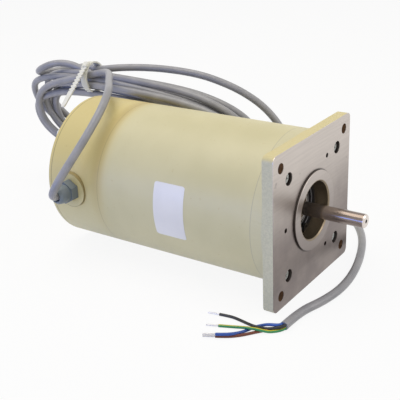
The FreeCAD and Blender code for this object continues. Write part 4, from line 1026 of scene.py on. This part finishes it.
@dataclass
class CableTie:
    """The white toothed tie round the coil's bundle."""

    coil: Coil
    radius: float = 0.0120
    width: float = 0.0060
    thickness: float = 0.0013
    head: tuple[float, float, float] = (0.0058, 0.0064, 0.0028)
    head_round: float = 0.0007
    tooth_pitch: float = 0.0032
    band_teeth: float = 0.42
    end_teeth: float = 0.50
    toothed: float = 0.029
    tip: float = 0.017
    head_turn: float = math.radians(5.0)
    tail_drop: float = math.radians(3.0)
    askew: float = math.radians(11.0)
    skew_axis: Vector = field(default_factory=lambda: Vector((0.533, -0.752, 0.388)))

    def __post_init__(self) -> None:
        """Works out the directions of the band, which sits askew on the bundle."""
        turn = Matrix.Rotation(self.askew, 3, self.skew_axis)
        ways = (self.coil.along, self.coil.up, self.coil.back)
        self.along, self.up, self.back = (turn @ way for way in ways)
        self.middle = Matrix.Translation(self.coil.tie_middle)

    def build(self) -> None:
        """Builds the band, the head and the loose end as one moulding."""
        form = bmesh.new()
        self.band(form)
        self.lock(form)
        self.loose_end(form)
        piece = link("tie", mesh_of("tie", form, Stock.TIE, smooth=False))
        settle(piece, "tie_nylon", "cable_tie")

    @property
    def ring_frame(self) -> Matrix:
        """The band's own frame: X to the back, Y up, Z along the bundle."""
        return self.middle @ Matrix((self.back, self.up, self.along)).transposed().to_4x4()

    @property
    def head_frame(self) -> Matrix:
        """The head's own frame: X along the bundle, Y back over the band, Z outward."""
        out = self.up * math.cos(self.head_turn) - self.back * math.sin(self.head_turn)
        return self.middle @ Matrix((self.along, out.cross(self.along), out)).transposed().to_4x4()

    def strip(self, form: bmesh.types.BMesh, path: list[tuple[float, float]], depth: float,
              place: Matrix) -> None:
        """Adds a toothed strip along a flat path.

        Args:
            form: the moulding.
            path: the strip's line in its own plane.
            depth: how much narrower the strip is between its teeth, as a share.
            place: the strip's frame.
        """
        curve = bpy.data.curves.new("strip_line", "CURVE")
        curve.dimensions = "3D"
        line = curve.splines.new("POLY")
        line.points.add(len(path) - 1)
        for point, (x, y) in zip(line.points, path):
            point.co = (x, y, 0.0, 1.0)
        sizes = {"Width": self.width, "Thickness": self.thickness, "Tooth Pitch": self.tooth_pitch,
                 "Tooth Depth": depth}
        mesh = ToothedStrip("toothed_strip", Stock.TIE, sizes).bake(curve)
        mesh.transform(place)
        form.from_mesh(mesh)
        bpy.data.meshes.remove(mesh)

    def band(self, form: bmesh.types.BMesh) -> None:
        """Bends the band round the bundle, toothed where it hangs below the near side."""
        reach = self.radius + self.thickness / 2.0

        def arc(first: float, last: float) -> list[tuple[float, float]]:
            """Returns the band's line between two angles from the top towards the near side."""
            angles = [math.radians(first + (last - first) * step / 60.0) for step in range(61)]
            return [(-reach * math.sin(angle), reach * math.cos(angle)) for angle in angles]

        self.strip(form, arc(-190.0, 92.0), 0.0, self.ring_frame)
        self.strip(form, arc(90.0, 172.0), self.band_teeth, self.ring_frame)

    def lock(self, form: bmesh.types.BMesh) -> None:
        """Sets the locking head on the band."""
        made = bmesh.ops.create_cube(form, size=1.0)["verts"]
        bmesh.ops.scale(form, vec=self.head, verts=made)
        edges = list({edge for vert in made for edge in vert.link_edges})
        rounded = bmesh.ops.bevel(form, geom=edges, offset=self.head_round, segments=2,
                                  affect="EDGES")["verts"]
        raised = Matrix.Translation((0.0, 0.0, self.radius + self.thickness / 2.0 + self.head[2] / 2.0))
        bmesh.ops.transform(form, matrix=self.head_frame @ raised, verts=rounded)

    def loose_end(self, form: bmesh.types.BMesh) -> None:
        """Runs the loose end out of the head, toothed at first and then plain to its narrow tip."""
        lift = Matrix.Translation((0.0, 0.0, self.radius + self.thickness * 1.5))
        turned = self.head_frame @ lift @ Matrix.Rotation(self.tail_drop, 4, "X")
        flat = turned @ Matrix.Rotation(math.radians(90.0), 4, "Y")
        self.strip(form, [(0.0, -0.0005), (0.0, -self.toothed)], self.end_teeth, flat)
        corners = []
        for along, half in ((-self.toothed, 0.38), (-self.toothed - self.tip * 0.9, 0.32),
                            (-self.toothed - self.tip, 0.24)):
            for side, lift_share in ((-1.0, -0.5), (1.0, -0.5), (1.0, 0.5), (-1.0, 0.5)):
                place = Vector((side * half * self.width, along, lift_share * self.thickness * 0.9))
                corners.append(form.verts.new(turned @ place))
        for first in (0, 4):
            for corner in range(4):
                following = (corner + 1) % 4
                form.faces.new((corners[first + corner], corners[first + following],
                                corners[first + 4 + following], corners[first + 4 + corner]))
        form.faces.new(corners[:4])
        form.faces.new(corners[-4:])


@dataclass
class BareLabel:
    """The blank label on the motor's near side."""

    radius: float = 0.0535
    thickness: float = 0.00012
    low: float = math.radians(-20.0)
    high: float = math.radians(22.5)
    back: float = -0.0946
    front: float = -0.0695
    corner: float = 0.0016
    columns: int = 24
    rows: int = 48

    def build(self) -> None:
        """Bends a thin rounded sheet round the motor's body."""
        form = bmesh.new()
        reach = self.radius + self.thickness
        grid = []
        for row in range(self.rows + 1):
            line = []
            for column in range(self.columns + 1):
                x, turn = self.rounded(column / self.columns, row / self.rows)
                line.append(form.verts.new((x, -reach * math.cos(turn), reach * math.sin(turn))))
            grid.append(line)
        for low, high in zip(grid, grid[1:]):
            for column in range(self.columns):
                form.faces.new((low[column], low[column + 1], high[column + 1], high[column]))
        settle(link("label", mesh_of("label", form, Stock.LABEL)), "cream_paint")

    def rounded(self, along: float, across: float) -> tuple[float, float]:
        """Returns a place on the label, pulled in at its corners.

        Args:
            along: share of the label's length.
            across: share of its height.

        Returns:
            The place along the shaft and the angle round it.
        """
        height = (self.high - self.low) * self.radius
        edge = max(0.0, abs(across - 0.5) * height - (height / 2.0 - self.corner))
        inset = self.corner - math.sqrt(self.corner ** 2 - min(edge, self.corner) ** 2)
        x = self.back + inset + along * (self.front - self.back - 2.0 * inset)
        return x, self.low + across * (self.high - self.low)


@dataclass
class Motor:
    """The motor's own solids, which stay as packed and get their finishes here, and its outer screws."""

    screw_spacing: float = 0.03405
    head_radius: float = 0.0039
    thread_radius: float = 0.0020
    recess: tuple[float, float] = (0.0042, 0.0010)
    finishes: dict[Finish, tuple[str, ...]] = field(default_factory=lambda: {
        Stock.CREAM: ("stator_housing", "rear_cover", "rear_plate"),
        Stock.FLANGE: ("front_flange",),
        Stock.BELL: ("rear_end_bell",),
        Stock.LAMINATION: ("stator_core", "rotor_cup_front", "rotor_cup_rear"),
        Stock.NYLON: ("front_insulator", "rear_insulator"),
        Stock.COPPER: ("stator_windings",),
        Stock.SHAFT: ("shaft",),
        Stock.SHIELD: ("front_bearing_outer_ring", "rear_bearing_outer_ring"),
        Stock.STEEL: ("front_bearing_inner_ring", "front_bearing_balls", "front_bearing_cage",
                      "rear_bearing_inner_ring", "rear_bearing_balls", "rear_bearing_cage"),
        Stock.MAGNET: ("rotor_magnet",),
        Stock.SPRING: ("bearing_circlip", "preload_washer"),
        Stock.SCREW: ("end_bell_screws", "terminal_screws"),
        Stock.GLAND: ("gland_body", "gland_dome_nut", "gland_locknut"),
        Stock.RUBBER: ("gland_seal",),
        Stock.JACKET: ("cable_entry",),
        Stock.TERMINAL: ("terminal_block",),
    })

    def build(self) -> None:
        """Gives every solid its finish and sets the screws that show."""
        for finish, names in self.finishes.items():
            for name in names:
                self.dress(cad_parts[name], finish)
            log.info("%s dresses %s", finish.name, ", ".join(names))
        self.screws("flange_screws", seat=-0.0056, facing=1.0, head=0.0036, length=0.0241)
        self.screws("cover_screws", seat=-0.1924, facing=-1.0, head=0.0026, length=0.0594)

    def dress(self, solid: bpy.types.Object, finish: Finish) -> None:
        """Puts one finish in a solid's material slots."""
        if not solid.material_slots:
            solid.data.materials.append(None)
        for place in solid.material_slots:
            place.material = finish.material()

    def screws(self, node: str, seat: float, facing: float, head: float, length: float) -> None:
        """Sets four screws.

        Args:
            node: the solid that they stand for.
            seat: where their heads sit, along the shaft.
            facing: 1 where the heads look to the front, -1 to the back.
            head: the head's height.
            length: the thread's length.
        """
        sizes = {"Half Spacing": self.screw_spacing, "Seat": seat, "Facing": facing,
                 "Head Radius": self.head_radius, "Head Height": head,
                 "Thread Radius": self.thread_radius, "Length": length,
                 "Recess Length": self.recess[0], "Recess Width": self.recess[1]}
        start = bpy.data.meshes.new(node + "_start")
        mesh = ScrewSquare(node + "_square", Stock.SCREW, sizes).bake(start)
        mesh.shade_flat()
        settle(link(node + "_set", mesh), "screw_steel", node)


@dataclass(frozen=True)
class Lamp:
    """One soft lamp, so wide and so high."""

    name: str
    place: Point
    size: tuple[float, float]
    energy: float
    tint: Point

    def hang(self, aim: Vector) -> None:
        """Hangs the lamp so that it faces the aim."""
        light = bpy.data.lights.new(self.name, "AREA")
        light.shape = "RECTANGLE"
        light.size, light.size_y = self.size
        light.energy = self.energy
        light.color = self.tint
        lamp = link(self.name, light)
        lamp.location = self.place
        lamp.rotation_euler = (aim - Vector(self.place)).to_track_quat("-Z", "Y").to_euler()


@dataclass
class Studio:
    """The white table, the soft light and the camera.

    grey is the table's own tone, glow how far it shines by itself to the eye, and soft the strength of
    the surroundings' light.
    """

    floor: float = -0.054
    reach: float = 6.0
    grey: float = 0.86
    glow: float = 0.90
    soft: float = 0.45
    aim: Vector = field(default_factory=lambda: Vector((-0.094253, 0.001868, -0.012799)))
    distance: float = 0.613535
    azimuth: float = math.radians(35.344)
    elevation: float = math.radians(22.833)
    roll: float = math.radians(-2.466)
    lens: float = 74.63
    sensor: float = 36.0
    lamps: tuple[Lamp, ...] = (
        Lamp("key_light", (-0.35, -0.10, 1.10), (0.9, 0.9), 7.0, (1.0, 0.94, 0.82)),
        Lamp("side_light", (1.00, 0.40, 0.55), (0.7, 0.7), 3.4, (1.0, 0.97, 0.95)),
        Lamp("cool_light", (-0.45, -1.15, 0.12), (0.8, 0.34), 4.0, (0.12, 0.28, 1.0)),
    )

    def build(self) -> None:
        """Sets the table, the light and the camera."""
        self.table()
        self.sky()
        for lamp in self.lamps:
            lamp.hang(self.aim)
        self.camera()
        bpy.context.scene.view_settings.view_transform = "Standard"

    def table(self) -> None:
        """Lays the pale floor that keeps the motor's shadow."""
        made = bpy.data.materials.new("white_table")
        graph = blank(made)
        matt = graph.out("ShaderNodeBsdfDiffuse", {"Color": (self.grey, self.grey, self.grey, 1.0)})
        glow = graph.out("ShaderNodeEmission", {"Color": WHITE, "Strength": 1.0})
        both = graph.out("ShaderNodeMixShader", {0: self.glow, 1: matt, 2: glow})
        ray = graph.add("ShaderNodeLightPath").outputs
        direct = graph.either(ray["Is Camera Ray"], ray["Is Glossy Ray"])
        seen = graph.out("ShaderNodeMixShader", {0: direct, 1: matt, 2: both})
        graph.add("ShaderNodeOutputMaterial", {"Surface": seen})
        floor = bpy.data.meshes.new("table")
        corners = [(x * self.reach, y * self.reach, self.floor)
                   for x, y in ((-1.0, -1.0), (1.0, -1.0), (1.0, 1.0), (-1.0, 1.0))]
        floor.from_pydata(corners, [], [(0, 1, 2, 3)])
        floor.materials.append(made)
        link("table", floor)

    def sky(self) -> None:
        """Makes the surroundings white to the eye and in reflections, and a soft light otherwise."""
        world = bpy.data.worlds.new("studio")
        graph = blank(world)
        ray = graph.add("ShaderNodeLightPath").outputs
        through = graph.either(ray["Is Glossy Ray"], ray["Is Transmission Ray"])
        seen = graph.either(ray["Is Camera Ray"], through)
        soft = graph.out("ShaderNodeBackground", {"Color": WHITE, "Strength": self.soft})
        white = graph.out("ShaderNodeBackground", {"Color": WHITE, "Strength": 1.0})
        mixed = graph.out("ShaderNodeMixShader", {0: seen, 1: soft, 2: white})
        graph.add("ShaderNodeOutputWorld", {"Surface": mixed})
        bpy.context.scene.world = world

    def camera(self) -> None:
        """Stands the camera where the photograph was taken from."""
        back = Vector((math.sin(self.azimuth) * math.cos(self.elevation),
                       -math.cos(self.azimuth) * math.cos(self.elevation), math.sin(self.elevation)))
        level = Vector((math.cos(self.azimuth), math.sin(self.azimuth), 0.0))
        upright = back.cross(level)
        right = level * math.cos(self.roll) + upright * math.sin(self.roll)
        up = upright * math.cos(self.roll) - level * math.sin(self.roll)
        data = bpy.data.cameras.new("photo_camera")
        data.lens = self.lens
        data.sensor_width = self.sensor
        camera = link("photo_camera", data)
        turn = Matrix((right, up, back)).transposed().to_4x4()
        camera.matrix_world = Matrix.Translation(self.aim + back * self.distance) @ turn
        bpy.context.scene.camera = camera


def keep_size() -> None:
    """Updates the view layer."""
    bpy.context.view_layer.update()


def main() -> None:
    """Builds the looks in order."""
    logging.basicConfig(level=logging.INFO, format="%(message)s")
    Studio().build()
    cable = Cable()
    cable.build()
    CableTie(cable.coil).build()
    BareLabel().build()
    Motor().build()
    keep_size()


if __name__ == "__main__":
    main()
